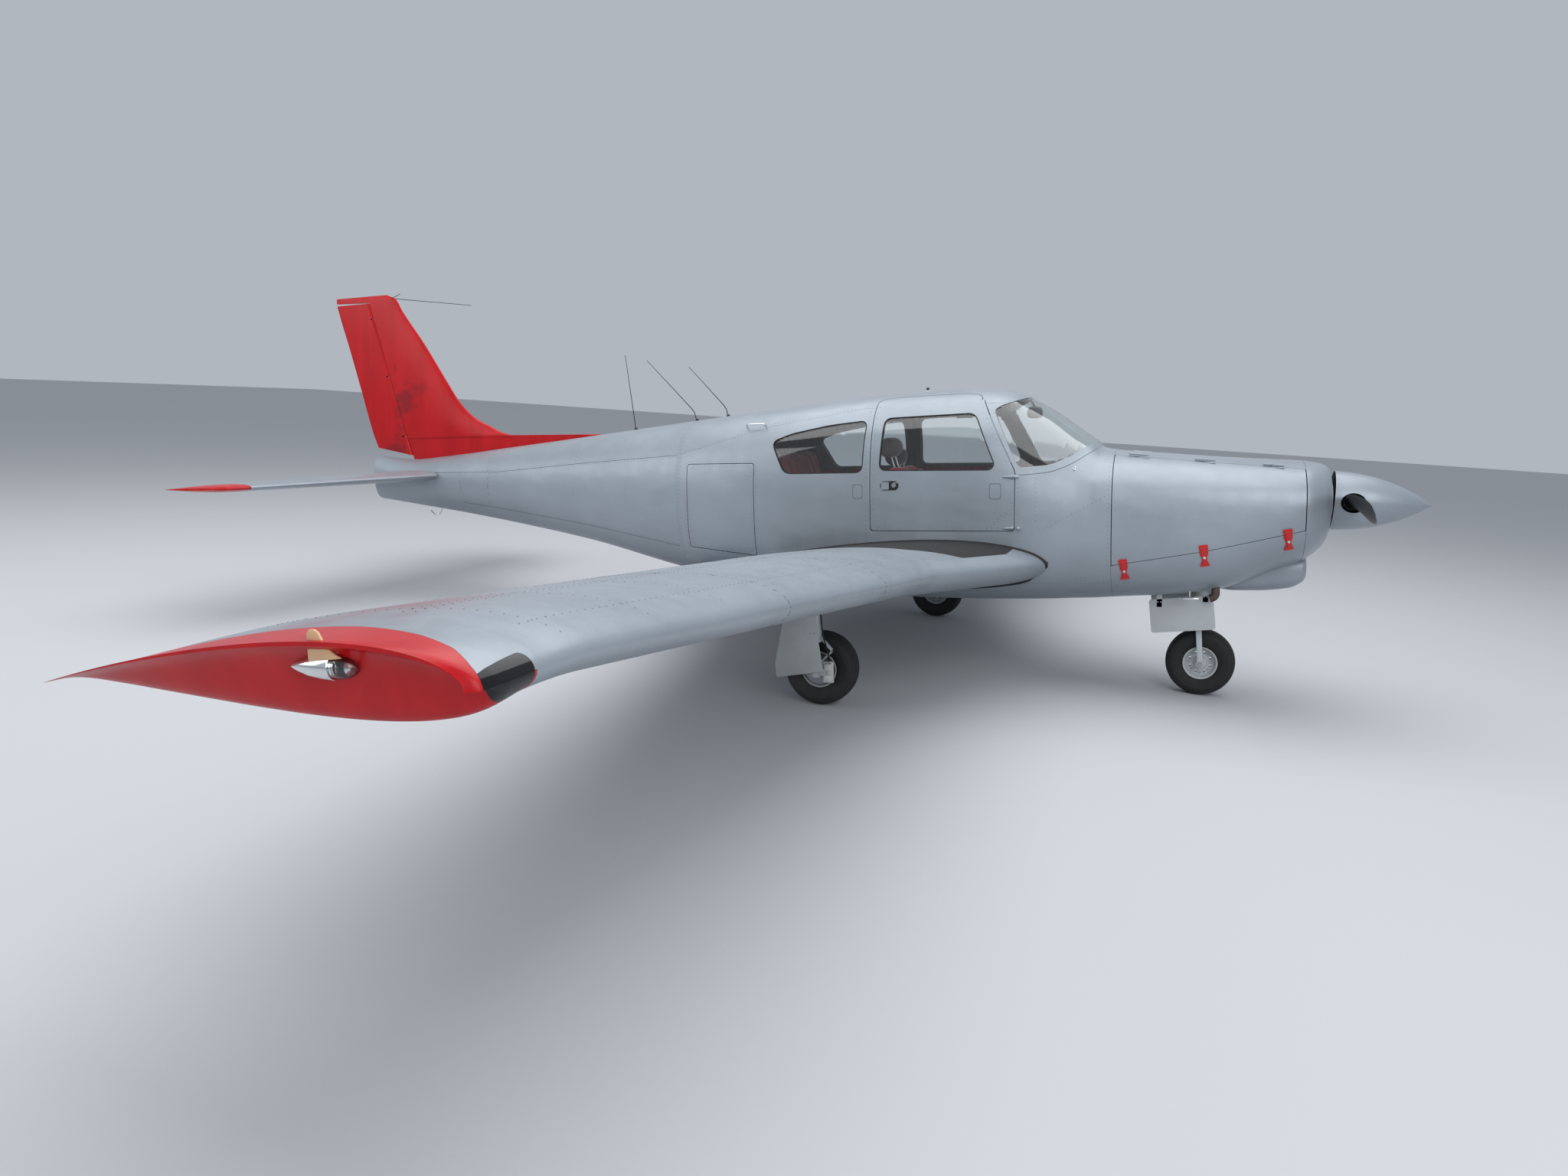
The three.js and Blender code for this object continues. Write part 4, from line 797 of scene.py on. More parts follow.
CHIN_STOPS = [0.579, 0.576, 0.571, 0.565, *(0.55 - 0.02 * i for i in range(21)), 0.135, 0.12]
chin = cut(chin_solid(CHIN_STOPS), body_solid(FRONT, BOWL_SEAM - 0.001, -0.002))
core = chin_solid([x + 0.004 * (x > 0.57) for x in CHIN_STOPS[:16]], 0.006)
tray = cut(shared(COWL, below_line(0)), core)
skin = cut(cut(chin, core), body_solid(BOWL_SEAM + 0.001, FIREWALL, SHEET / 2))
well = slab(oblong(-0.3, 0.112, 0.3, 0.8), -0.176, 0.176)
tray = cut(combine(tray, "UNION", skin), well)
fit("tray_skin", inner_faces(tray), COWL_SKIN, stands_for="cowl_lower", crease=40)

# Cowl hinges: three pairs of painted knuckles on one straight line above each door's top edge.
# The door's own knuckles and leaves swing with it; the ones on the fixed top stay.
STEEL = finish_of("steel", Base_Color=(0.42, 0.43, 0.44, 1), Metallic=1.0, Roughness=0.34)[0], "steel"


def rod(a, b, radius, sides=16, chamfer=0.0, end=None):
    """A round bar from one point to another, or a cone if its far radius is given."""
    a, b = Vector(a), Vector(b)
    far, last = (b - a).length, radius if end is None else end
    profile = [(0, 0), (0, radius - chamfer), (chamfer, radius), (far - chamfer, last),
               (far, last - chamfer), (far, 0)]
    if not chamfer:
        profile = [(0, 0), (0, radius), (far, last), (far, 0)]
    return turned(profile, a, b - a, sides)


def block(size, bevel=0.0, at=None):
    """A box with rounded edges, placed by a matrix or centred on a point."""
    bm = bmesh.new()
    bmesh.ops.create_cube(bm, size=1)
    bmesh.ops.scale(bm, vec=Vector(size), verts=bm.verts)
    if bevel:
        bmesh.ops.bevel(bm, geom=bm.edges, offset=bevel, segments=2, profile=0.5, affect="EDGES",
                        material=-1)
    if at is not None:
        matrix = at if isinstance(at, Matrix) else Matrix.Translation(at)
        bm = placed(bm, matrix)
    return bm


def top_z(x, y):
    """Height of the body's upper skin over a place seen from above."""
    _, half, _, wide, top, above, _ = between(STATIONS, x)
    return wide + (top - wide) * max(1 - (abs(y) / half) ** above, 0) ** (1 / above)


PIN_ENDS = [(x, top_z(x0, TOP_HALF) + 0.012) for x, x0 in ((0.536, BOWL_SEAM), (-0.472, FIREWALL))]
for name, side in SIDES:
    def on_pin(share, side=side):
        (x0, z0), (x1, z1) = PIN_ENDS
        return Vector((x0 + (x1 - x0) * share, side * 0.277, z0 + (z1 - z0) * share))

    moving, fixed = [], []
    for start in (0.1, 0.46, 0.82):
        for low, high, group, way in ((start, start + 0.06, moving, 1),
                                      (start + 0.0612, start + 0.11, fixed, -1)):
            a, b = on_pin(low), on_pin(high)
            group.append(rod(a, b, 0.0052, 14, 0.001))
            middle, y = (a + b) / 2, 0.277 + way * 0.013
            group.append(block((abs(a.x - b.x), 0.008, 0.009), 0.001, middle - Vector((0, 0, 0.0045))))
            leaf = Matrix.Translation((middle.x, side * y, top_z(middle.x, y) + 0.0014))
            leaf = leaf @ Matrix.Rotation(-side * 0.3, 4, "X")
            group.append(block((abs(a.x - b.x), 0.022, 0.0016), 0.0006, leaf))
    fit("cowl_hinge_moving_" + name, moving, PAINT, "cowl_door_" + name)
    fit("cowl_hinge_fixed_" + name, fixed, PAINT)

# Cowl latches: three over-centre toggles a side, red, that pull each door down on the tray. A
# top plate, a lever with a white dot, a waist and a flared foot.
COWL_RED = finish_of("latch_red", Base_Color=(0.55, 0.012, 0.012, 1), Roughness=0.42)[0], "red_paint"
WHITE = finish_of("white_mark", Base_Color=(0.62, 0.62, 0.6, 1), Roughness=0.5)[0], "gear_paint"
LATCHES = ((-0.41, 0.824), (0.023, 0.907), (0.459, 0.996))
for name, side in SIDES:
    red, dots = [], []
    for x, z in LATCHES:
        seat = seat_at(x, z, side, 0.001) @ Matrix.Rotation(-side * radians(6), 4, "Z")
        outline = ((-0.024, 0.066), (0.024, 0.066), (0.022, 0.008), (0.013, -0.012), (0.015, -0.034),
                   (0.027, -0.064), (-0.027, -0.064), (-0.015, -0.034), (-0.013, -0.012), (-0.022, 0.008))
        plate = placed(slab(rounded(outline, 0.005, 3), -0.004, 0.003, "Z"), seat)
        red += [
            plate, block((0.03, 0.068, 0.006), 0.002, seat @ Matrix.Translation((0, 0.026, 0.005))),
            block((0.016, 0.046, 0.007), 0.002, seat @ Matrix.Translation((0, -0.026, 0.005))),
            rod(seat @ Vector((-0.02, 0.052, 0.006)), seat @ Vector((0.02, 0.052, 0.006)), 0.004, 12),
            rod(seat @ Vector((-0.018, -0.048, 0.005)), seat @ Vector((0.018, -0.048, 0.005)), 0.0035, 12),
        ]
        dots.append(rod(seat @ Vector((0, -0.008, 0.006)), seat @ Vector((0, -0.008, 0.0098)), 0.0075, 16))
    fit("latches_" + name, red, COWL_RED, "cowl_door_" + name)
    fit("latch_dots_" + name, dots, WHITE, "cowl_door_" + name)


# Wings: sheet over ribs and one main spar, 15 per cent thick, with the leading edge swept forward
# inboard. Each holds its wheel well and the bays of its flap and aileron, and the hinge arms.
LE_X, LE_Z = -1.235, 0.7815
DIHEDRAL, WASH = tan(radians(5)), sin(radians(2))
HINGE_CHORD = 0.74
ROOT_Y, GLOVE_Y, TIP_Y = 0.4, 1.87, 5.3
MAIN_X, LEG_Y = -1.938, 1.585
WELL_Y = LEG_Y - 0.59
RUN = 0.005
# y, leading edge back, lower side up, trailing edge back
TIP_ROWS = (
    (5.300, 0, 0, 0), (5.335, 0.001, -0.03, 0.008), (5.370, 0.003, -0.10, 0.015),
    (5.400, 0.005, -0.13, 0.024), (5.416, 0.007, -0.04, 0.030), (5.430, 0.008, 0.22, 0.035),
    (5.444, 0.011, 0.64, 0.041), (5.457, 0.014, 0.92, 0.046), (5.470, 0.018, 1.07, 0.050),
    (5.486, 0.042, 1.18, 0.062),
)


def rear_x(y):
    return -3.26 + 0.174 * abs(y)


def nose_x(y):
    """The leading edge, with a soft kink where the swept part begins."""
    left = GLOVE_Y - abs(y)
    swept = max(left, 0) if abs(left) > 0.04 else (left + 0.04) ** 2 / 0.16
    return LE_X + 0.437 * swept / (GLOVE_Y - ROOT_Y)


def half_thick(s):
    return 5 * (0.2969 * sqrt(s) - 0.126 * s - 0.3516 * s ** 2 + 0.2843 * s ** 3 - 0.1036 * s ** 4)


def on_wing(y, s, high=True, out=0.0, back=0.0, lift=0.0, spike=0.0):
    """A place on the wing: span, share of the chord from the nose, upper or lower side."""
    main = LE_X - rear_x(y)
    nose = nose_x(y) - back
    x = nose - s * (nose - rear_x(y) + spike)
    droop = 0.038 * (max(abs(y) - 5.06, 0) / 0.426) ** 1.6
    middle = LE_Z + DIHEDRAL * abs(y) - droop - WASH * (LE_X - x) + 0.06 * s * (1 - s) * main
    half = half_thick(s) * 0.15 * main
    deep = half + out if high else -half * (1 - lift) + half * lift * 0.6 - out
    return Vector((x, y, middle + deep))


def wing_ring(y, out=0.0, back=0.0, lift=0.0, spike=0.0):
    def point(v):
        s = (1 + cos(2 * pi * v)) / 2
        return on_wing(y, s, v < 0.5, out * min(8 * s, 8 - 8 * s, 1), back, lift, spike)

    return point


def cap_ring(y):
    """A section of the tip, where the lower side is drawn up to the ridge."""
    _, nose, lift, spike = between(TIP_ROWS, abs(y))
    return wing_ring(y, 0, nose, lift, spike)


def wing_solid(side, inner, outer, count, out=0.0):
    places = [side * (inner + (outer - inner) * i / count) for i in range(count + 1)]
    return lofted(places, 96, lambda y: wing_ring(y, out))


def hinge_point(y):
    """Where the hinge line crosses a section, and half the wing's thickness there."""
    x = LE_X - HINGE_CHORD * (LE_X - rear_x(y))
    s = (nose_x(y) - x) / (nose_x(y) - rear_x(y))
    high, low = on_wing(y, s), on_wing(y, s, False)
    return (high + low) / 2, (high.z - low.z) / 2


def hinge_arm(at, line, reach, half):
    """A disc on an arm, and the slot that it stands in; both square to the hinge line."""
    def slice_of(thick, radius, sides):
        return rod(at - line * thick, at + line * thick, radius, sides)

    bar = rod(at, at + Vector((reach, 0, 0)), half * 0.35, 12)
    arm = shared(bar, slice_of(0.004, 2 * reach, 4))
    return joined(slice_of(0.004, half * 0.45, 20), arm), slice_of(0.0045, half + 0.003, 24)


def control_surface(whole, side, inner, outer, hinges):
    """A flap or aileron with a round nose, the bay it moves in, and its hinge arms."""
    (a, ra), (b, rb) = hinge_point(side * inner), hinge_point(side * outer)
    line = (b - a).normalized()

    def ends(extra):
        return rod(a - line * extra, b + line * extra, 0.9, 16)

    def aft(first, last):
        near, far = a - line * 0.2, b + line * 0.2
        return slab([(near.x + first, near.y), (far.x + last, far.y), (far.x - 0.9, far.y),
                     (near.x - 0.9, near.y)], 0, 2, "Z")

    arms, slots = [], []
    for y in hinges:
        half = hinge_point(side * y)[1]
        arm, slot = hinge_arm(a + line * ((side * y - a.y) / line.y), line, half + 0.036, half)
        arms.append(arm)
        slots.append(slot)
    surface = shared(shared(whole, aft(0, 0)), ends(0))
    surface = combine(surface, "UNION", rod(a, b, ra - 0.001, 40, end=rb - 0.001))
    bay = shared(aft(ra + RUN, rb + RUN), ends(RUN))
    return cut(surface, *slots), bay, joined(*arms)


def wing_paint():
    """The grey paint, with red overspray on the top of the outer right wing beside its tip."""
    made = grey_paint("wing_paint")
    tree = made.node_tree
    shader = tree.nodes["Principled BSDF"]
    base = shader.inputs["Base Color"].links[0].from_socket
    where = node(tree, "TexCoord").outputs["Object"]
    away = node(tree, "VectorMath", {0: where, 1: (0.86, -5.13, 1.13)}, operation="SUBTRACT")
    turn = node(tree, "Mapping", {"Vector": away.outputs[0], "Rotation": (0, 0, radians(38)),
                                  "Scale": (5.2, 2.1, 6.0)})
    far = node(tree, "VectorMath", {0: turn.outputs[0]}, operation="LENGTH").outputs["Value"]
    spray = node(tree, "Math", {0: ramp(tree, far, 0.55, 0, 0.1, 1.0),
                                1: ramp(tree, weather(tree)["Blotch"], 0.3, 1.3, 0.35, 0.6)},
                 operation="MULTIPLY").outputs[0]
    red = tint(tree, spray, base, (0.3, 0.055, 0.06, 1))
    feed(shader, Base_Color=red)
    return made


# In plan: the joint between grey sheet and red tip, and the landing light's window ahead of it
TIP_LINE = (
    (-1.10, 5.474), (-1.245, 5.468), (-1.285, 5.452), (-1.345, 5.420), (-1.440, 5.392),
    (-1.600, 5.362), (-1.850, 5.340), (-2.60, 5.322),
)


def window_block(side):
    """The landing light window's share, from its rounded inboard end on."""
    return slab(oblong(-1.1, -1.267, side * 5.318, side * 5.56), 0.4, 2.1, "Z", corner=0.02)


def tip_block(side, by):
    """The tip's share of the wing: past the curved joint above, and a little more of it below."""
    line = [(x, side * (y - by)) for x, y in TIP_LINE]
    above = slab([*line, (-2.6, side * 5.6), (-1.1, side * 5.6)], 0.5, 2, "Z")
    below = slab([(-1.1, 1.236 + by), (-2.6, 1.184 + by), (-2.6, 0.5), (-1.1, 0.5)],
                 *sorted((side * (5.312 - by), side * 5.6)))
    return combine(above, "UNION", cut(below, window_block(side)))


WING_PAINT = wing_paint(), "skin_paint"
CAPS = {}
for name, side in SIDES:
    inboard = wing_solid(side, ROOT_Y, TIP_Y, 60)
    cap = lofted([side * (5.2999 + 0.1861 * (1 - (1 - i / 24) ** 1.7)) for i in range(25)], 96, cap_ring)
    flap, flap_bay, flap_arms = control_surface(inboard, side, 0.64, 3.06, (0.9, 1.85, 2.8))
    aileron, aileron_bay, aileron_arms = control_surface(
        inboard, side, 3.072, 5.02, (3.4, 4.05, 4.7),
    )
    well_y, well_top = side * WELL_Y, LE_Z + DIHEDRAL * WELL_Y
    well = rod((MAIN_X, well_y, 0.4), (MAIN_X, well_y, well_top - 0.04), 0.245, 48)
    slot = slab(oblong(MAIN_X - 0.07, MAIN_X + 0.07, well_y, side * 1.625), 0.4, well_top - 0.02, "Z")
    skin = cut(inboard, flap_bay, aileron_bay, well, slot, body_solid(FRONT, TAIL_END, -0.0005))
    skin = cut(combine(skin, "UNION", cap), tip_block(side, 0.0006), window_block(side))
    fit("wing_skin_" + name, skin, WING_PAINT, stands_for="wing_" + name)
    fit("flap_skin_" + name, flap, PAINT, "flap_" + name, "flap_" + name)
    fit("aileron_skin_" + name, aileron, PAINT, "aileron_" + name, "aileron_" + name)
    fit("wing_hinge_arms_" + name, [flap_arms, aileron_arms], STEEL)
    CAPS[side] = cap


# Wing tips: red glass-fibre mouldings that droop a little and have a deep outer face, drawn out
# to a point behind. They butt against the grey sheet along a curved joint.
def red_paint(name, stained):
    """Deep red paint, glossy, that has darkened in patches and gone duller there."""
    made, tree, shader = finish_of(name, IOR=1.5, Specular_IOR_Level=0.28)
    worn = weather(tree)
    patch = ramp(tree, worn["Blotch"], 0, stained, 0.58, 0.64)
    base = tint(tree, ramp(tree, worn["Streak"], 0, 1, 0.3, 0.7), (0.44, 0.003, 0.006, 1),
                (0.52, 0.006, 0.01, 1))
    feed(shader, Base_Color=tint(tree, patch, base, (0.23, 0.004, 0.01, 1)),
         Roughness=ramp(tree, patch, 0.3, 0.5),
         Normal=wavy(tree, 0.15, 0.12))
    return made


TIP_RED, TAIL_RED = (red_paint("tip_red", 0.15), "tip_moulding"), (red_paint("tail_red", 0.8), "red_paint")
SMOKED = finish_of(
    "smoked_acrylic", Base_Color=(0.006, 0.006, 0.007, 1), Roughness=0.1, IOR=1.49,
    Specular_IOR_Level=0.35,
)[0], "clear"
for name, side in SIDES:
    tip = shared(CAPS[side], tip_block(side, 0))
    fit("wing_tip_skin_" + name, tip, TIP_RED, stands_for="wing_tip_" + name)

# Landing light windows: a smoked acrylic nose on each wing's leading edge, flush with the sheet
# and nearly black from outside. It takes its shape from the tip's own section.
for name, side in SIDES:
    pane = cut(shared(CAPS[side], window_block(side)), tip_block(side, 0.001))
    fit("landing_window_" + name, pane, SMOKED)


# Position lights: a bullet of bright metal on each tip's outer face with a clear dome ahead of
# it, and a translucent tan fin above that shows the pilot the light.
TAN = finish_of(
    "tan_plastic", Base_Color=(0.66, 0.42, 0.24, 1), Roughness=0.35, Subsurface_Weight=0.4,
    Subsurface_Scale=0.01,
)[0], "tip_moulding"
BRIGHT = finish_of("bright_metal", Base_Color=(0.74, 0.75, 0.76, 1), Metallic=1.0,
    Roughness=0.16)[0], "steel"
for name, side in SIDES:
    start = Vector((-1.7, side * 5.457, 1.247))
    shell = [(0, 0), (0.001, 0.004), (0.02, 0.012), (0.05, 0.0205), (0.085, 0.0255), (0.105, 0.0265),
             (0.107, 0.0265), (0.108, 0.0255), (0.108, 0.0225), (0.104, 0.022), (0.104, 0)]
    dome = [(0.1045, 0), (0.1045, 0.022), (0.125, 0.0235), (0.143, 0.0205), (0.156, 0.0135), (0.162, 0.005),
        (0.163, 0), (0.1605, 0), (0.153, 0.0115), (0.141, 0.0183), (0.125, 0.0212), (0.108, 0.0198),
        (0.108, 0)]
    bulb = [(0.104, 0), (0.104, 0.01), (0.116, 0.01), (0.12, 0.006), (0.128, 0.0095), (0.138, 0.0085),
            (0.144, 0.003), (0.145, 0)]
    way = (1, 0, 0.026)
    fit("position_light_" + name, turned(shell, start, way, 32), BRIGHT)
    fit("position_dome_" + name, turned(dome, start, way, 32), ACRYLIC)
    fit("position_bulb_" + name, turned(bulb, start, way, 24), BRIGHT)
    outline = ((-1.641, 1.262), (-1.64, 1.318), (-1.634, 1.325), (-1.622, 1.326), (-1.612, 1.32),
               (-1.6, 1.297), (-1.578, 1.279), (-1.562, 1.271), (-1.6, 1.266))
    fin = slab(outline, *sorted((side * 5.4695, side * 5.476)))
    bmesh.ops.bevel(fin, geom=[e for e in fin.edges if abs(e.verts[0].co.y - e.verts[1].co.y) < 1e-4],
                    offset=0.0018, segments=2, profile=0.5, affect="EDGES", material=-1)
    fit("position_fin_" + name, fin, TAN)


# Rear body: tapering aluminium sheet from the cabin to the tail, painted grey, with holes for
# the tailplane's tube. A flat end under the rudder closes it.
def crosswise(at, start, end, *rest):
    """A round bar across the aircraft, between two distances from a point."""
    at = Vector(at)
    return rod(at + Vector((0, start, 0)), at + Vector((0, end, 0)), *rest)


PIVOT = Vector((-5.64, 0, 1.418))
rear = cut(body_solid(BULKHEAD - LAP, TAIL_END), crosswise(PIVOT, -0.3, 0.3, 0.034, 32))
fit("rear_body_skin", rear, PAINT, stands_for="tail_cone")


# Fin and rudder: sheet over ribs, red. The fin starts as a long low fillet on the back; the
# rudder hangs on three arms behind its post, with a round nose in the fin's hollow edge.
# height, leading edge, trailing edge, half thickness
FIN = (
    (1.470, -4.100, -6.040, 0.030), (1.612, -4.060, -6.067, 0.036), (1.688, -4.075, -6.090, 0.037),
    (1.706, -4.848, -6.096, 0.038), (1.770, -5.010, -6.116, 0.037), (1.845, -5.156, -6.135, 0.036),
    (1.970, -5.284, -6.165, 0.034), (2.111, -5.377, -6.199, 0.032), (2.406, -5.562, -6.273, 0.027),
    (2.674, -5.751, -6.345, 0.022), (2.760, -5.800, -6.362, 0.020), (2.794, -5.880, -6.362, 0.012),
)
RUDDER_LOW, RUDDER_HIGH = Vector((-5.761, 0, 1.552)), Vector((-6.055, 0, 2.729))
RUDDER_TOP = 2.74


def fin_ring(z):
    _, nose, tail, half = between(FIN, z)

    def share(s):
        if s < 0.3:
            return 0.976 * sqrt(max(1 - ((0.3 - max(s, 0)) / 0.3) ** 2, 0))
        return 0.976 * (1 - 0.76 * ((s - 0.3) / 0.7) ** 1.4) * min(1, sqrt((1 - s) / 0.004))

    def point(v):
        s = (1 + cos(2 * pi * v)) / 2
        x = nose + (tail - nose) * s
        thick = share(s)
        if z < 1.706:
            thick = min(thick, max(share((x + 4.848) / (tail + 4.848)), 0.42))
        return Vector((x, (1 if v < 0.5 else -1) * half * thick, z))

    return point


def on_rudder_line(z):
    return RUDDER_LOW.lerp(RUDDER_HIGH, (z - RUDDER_LOW.z) / (RUDDER_HIGH.z - RUDDER_LOW.z))


heights = [1.47, 1.54]
for low, high in zip(FIN[1:], FIN[2:]):
    pieces = 14 if high[0] == 1.706 else max(round((high[0] - low[0]) / 0.03), 3)
    heights += [low[0] + (high[0] - low[0]) * i / pieces for i in range(pieces)]
fin = lofted([*heights, FIN[-1][0]], 64, fin_ring)
line = (RUDDER_HIGH - RUDDER_LOW).normalized()
arms, slots = [], []
for z in (1.72, 2.18, 2.62):
    radius = 0.027 - 0.011 * (z - 1.52) / (RUDDER_TOP - 1.52)
    arm, slot = hinge_arm(on_rudder_line(z), line, radius + 0.031, radius)
    arms.append(arm)
    slots.append(slot)
aft = slab([(on_rudder_line(1.5).x, 1.5), (on_rudder_line(RUDDER_TOP).x, RUDDER_TOP),
            (-6.5, RUDDER_TOP), (-6.5, 1.5)], -0.1, 0.1)
under = slab([(-5, 1.3), (-6.5, 1.3), (-6.5, 1.566 + 0.784 * 0.2), (-5, 1.566 - 0.716 * 0.2)], -0.2, 0.2)
nose = rod(on_rudder_line(1.48), on_rudder_line(2.78), 0.0274, 40, end=0.0156)
nose = shared(nose, long_box(0.1, 1.5, RUDDER_TOP, -7, -5))
rudder = combine(shared(fin, aft), "UNION", nose)
rudder = cut(rudder, under, *slots)
bay = slab([(on_rudder_line(1.4).x + 0.033, 1.4), (on_rudder_line(2.745).x + 0.022, 2.745),
            (-6.5, 2.759), (-6.5, 1.4)], -0.2, 0.2)
fin = cut(fin, bay, body_solid(FRONT, TAIL_END, -0.0005))
fit("fin_skin", fin, TAIL_RED, stands_for="fin")
fit("rudder_skin", rudder, TAIL_RED, "rudder", "rudder")
fit("rudder_hinge_arms", arms, STEEL)

# Tailplane: both halves turn as one on a steel tube through the rear body. Its trim tab runs
# across the middle of the trailing edge; the ends are red.
# span, leading edge, trailing edge, half thickness
TAILPLANE = (
    (0, -5.350, -6.178, 0.042), (1.5, -5.575, -6.178, 0.027), (1.78, -5.618, -6.178, 0.024),
    (1.87, -5.660, -6.172, 0.018), (1.905, -5.740, -6.150, 0.007),
)
TAB_X, TAB_SPAN, TAB_NOSE = -6.085, 0.92, 0.01


def tailplane_ring(y):
    _, nose, tail, half = between(TAILPLANE, abs(y))

    def point(v):
        s = (1 + cos(2 * pi * v)) / 2
        deep = half * 2 * half_thick(s) + 0.0012 * min(1, sqrt((1 - s) / 0.002)) * (s > 0.5)
        return Vector((nose + (tail - nose) * s, y, PIVOT.z + (1 if v < 0.5 else -1) * deep))

    return point


tab_bay = slab([(TAB_X + TAB_NOSE + RUN, -TAB_SPAN - RUN), (TAB_X + TAB_NOSE + RUN, TAB_SPAN + RUN),
                (-6.4, TAB_SPAN + RUN), (-6.4, -TAB_SPAN - RUN)], 1, 2, "Z")
tab_zone = slab([(TAB_X, -TAB_SPAN), (TAB_X, TAB_SPAN), (-6.4, TAB_SPAN), (-6.4, -TAB_SPAN)], 1, 2, "Z")
tab = [crosswise((TAB_X, 0, PIVOT.z), -TAB_SPAN, TAB_SPAN, TAB_NOSE, 32)]
spans = [1.8 * i / 30 for i in range(30)] + [1.8 + 0.105 * (1 - (1 - i / 12) ** 1.8) for i in range(13)]
grey, red = [crosswise(PIVOT, -0.42, 0.42, 0.03, 32)], []
for side in (1, -1):
    half = lofted([side * y for y in spans], 72, tailplane_ring)
    root = [(x, side * (between(STATIONS, max(x, TAIL_END))[1] + 0.009))
            for x in (-5.3, -5.5, -5.7, -5.9, -6.05, -6.5)]
    inner = slab([*root, (-6.5, -side * 0.01), (-5.3, -side * 0.01)], 1, 2, "Z")
    tab.append(shared(half, tab_zone))
    half = cut(half, inner, tab_bay)
    tip = [(-5.4, 1.752), (-6.3, 1.7), (-6.3, 2), (-5.4, 2)]
    red.append(shared(half, slab([(x, side * y) for x, y in tip], 1, 2, "Z")))
    grey.append(cut(half, slab([(x, side * (y - 0.0006)) for x, y in tip], 1, 2, "Z")))
arms, slots = [], []
for y in (-0.7, -0.3, 0.3, 0.7):
    arm, slot = hinge_arm(Vector((TAB_X, y, PIVOT.z)), Vector((0, 1, 0)), 0.03, TAB_NOSE)
    arms.append(arm)
    slots.append(slot)
fit("tailplane_skin", grey, PAINT, "tailplane", "tailplane")
fit("tailplane_tips", red, TAIL_RED, "tailplane")
fit("tab_hinge_arms", arms, STEEL, "tailplane")
tab = cut(combine(tab[0], "UNION", *tab[1:]), *slots)
fit("trim_tab_skin", tab, PAINT, "trim_tab", "trim_tab")


# Tyres: black rubber on each wheel, with a squared shoulder, four grooves round the tread and
# fine rings on the sidewall. The lowest line stands half a millimetre clear of the ground.
HUB_Z = 0.202255  # height of the axles over the ground
WHEELBASE, WHEEL_Y = 1.9655, 1.467


def from_ground(x, z):
    """A place given over the level ground, in the layout square to the fuselage datum."""
    return x * cos(ATTITUDE) + z * sin(ATTITUDE), z * cos(ATTITUDE) - x * sin(ATTITUDE)


RUBBER = aged("tyre_rubber", (0.62, 0.85, 0.3, 0.7), ((0.01, 0.01, 0.011), (0.04, 0.039, 0.037)),
              (0.7, 0.5, 0.75), IOR=1.5), "tyre"
# Light grey gloss paint on the wheels, legs and gear doors, a little dirty
GEAR = aged("gear_paint", (0.32, 0.55, 0.3, 0.7), ((0.5, 0.53, 0.54), (0.34, 0.35, 0.345)),
            (1, 0.45, 0.75), "Streak", (0.08, 0.15), IOR=1.5), "gear_paint"
CHROME = finish_of("chrome", Base_Color=(0.8, 0.8, 0.8, 1), Metallic=1.0, Roughness=0.07)[0], "steel"
GROOVES = (-0.034, -0.012, 0.012, 0.034)
TREAD = [(-0.055, 0.0965), (-0.064, 0.104), (-0.073, 0.120), (-0.0775, 0.140), (-0.0780, 0.156),
         (-0.0786, 0.158), (-0.0780, 0.160), (-0.0755, 0.170), (-0.0750, 0.173), (-0.0742, 0.175),
         (-0.0690, 0.184), (-0.0600, 0.1925), (-0.0500, 0.1970)]
for middle in GROOVES:
    for across, deep in ((-0.0035, 0), (-0.002, 0.0045), (0.002, 0.0045), (0.0035, 0)):
        y = middle + across
        TREAD.append((y, 0.2017 - 1.6 * y * y - deep))
TREAD += [(-y, r) for y, r in reversed(TREAD[:13])]
TREAD += [(0.052, 0.0935), (0, 0.0915), (-0.052, 0.0935), TREAD[0]]
WHEELS = {
    "nose": (*from_ground(0, HUB_Z), 0, "nose_wheel"),
    "left": (*from_ground(-WHEELBASE, HUB_Z), WHEEL_Y, "left_wheel"),
    "right": (*from_ground(-WHEELBASE, HUB_Z), -WHEEL_Y, "right_wheel"),
}
for name, (x, z, y, body) in WHEELS.items():
    tyre = turned(TREAD, (x, y, z), (0, 1, 0), 96)
    fit("tyre_skin_" + name, tyre, RUBBER, body, "tyre_" + name)
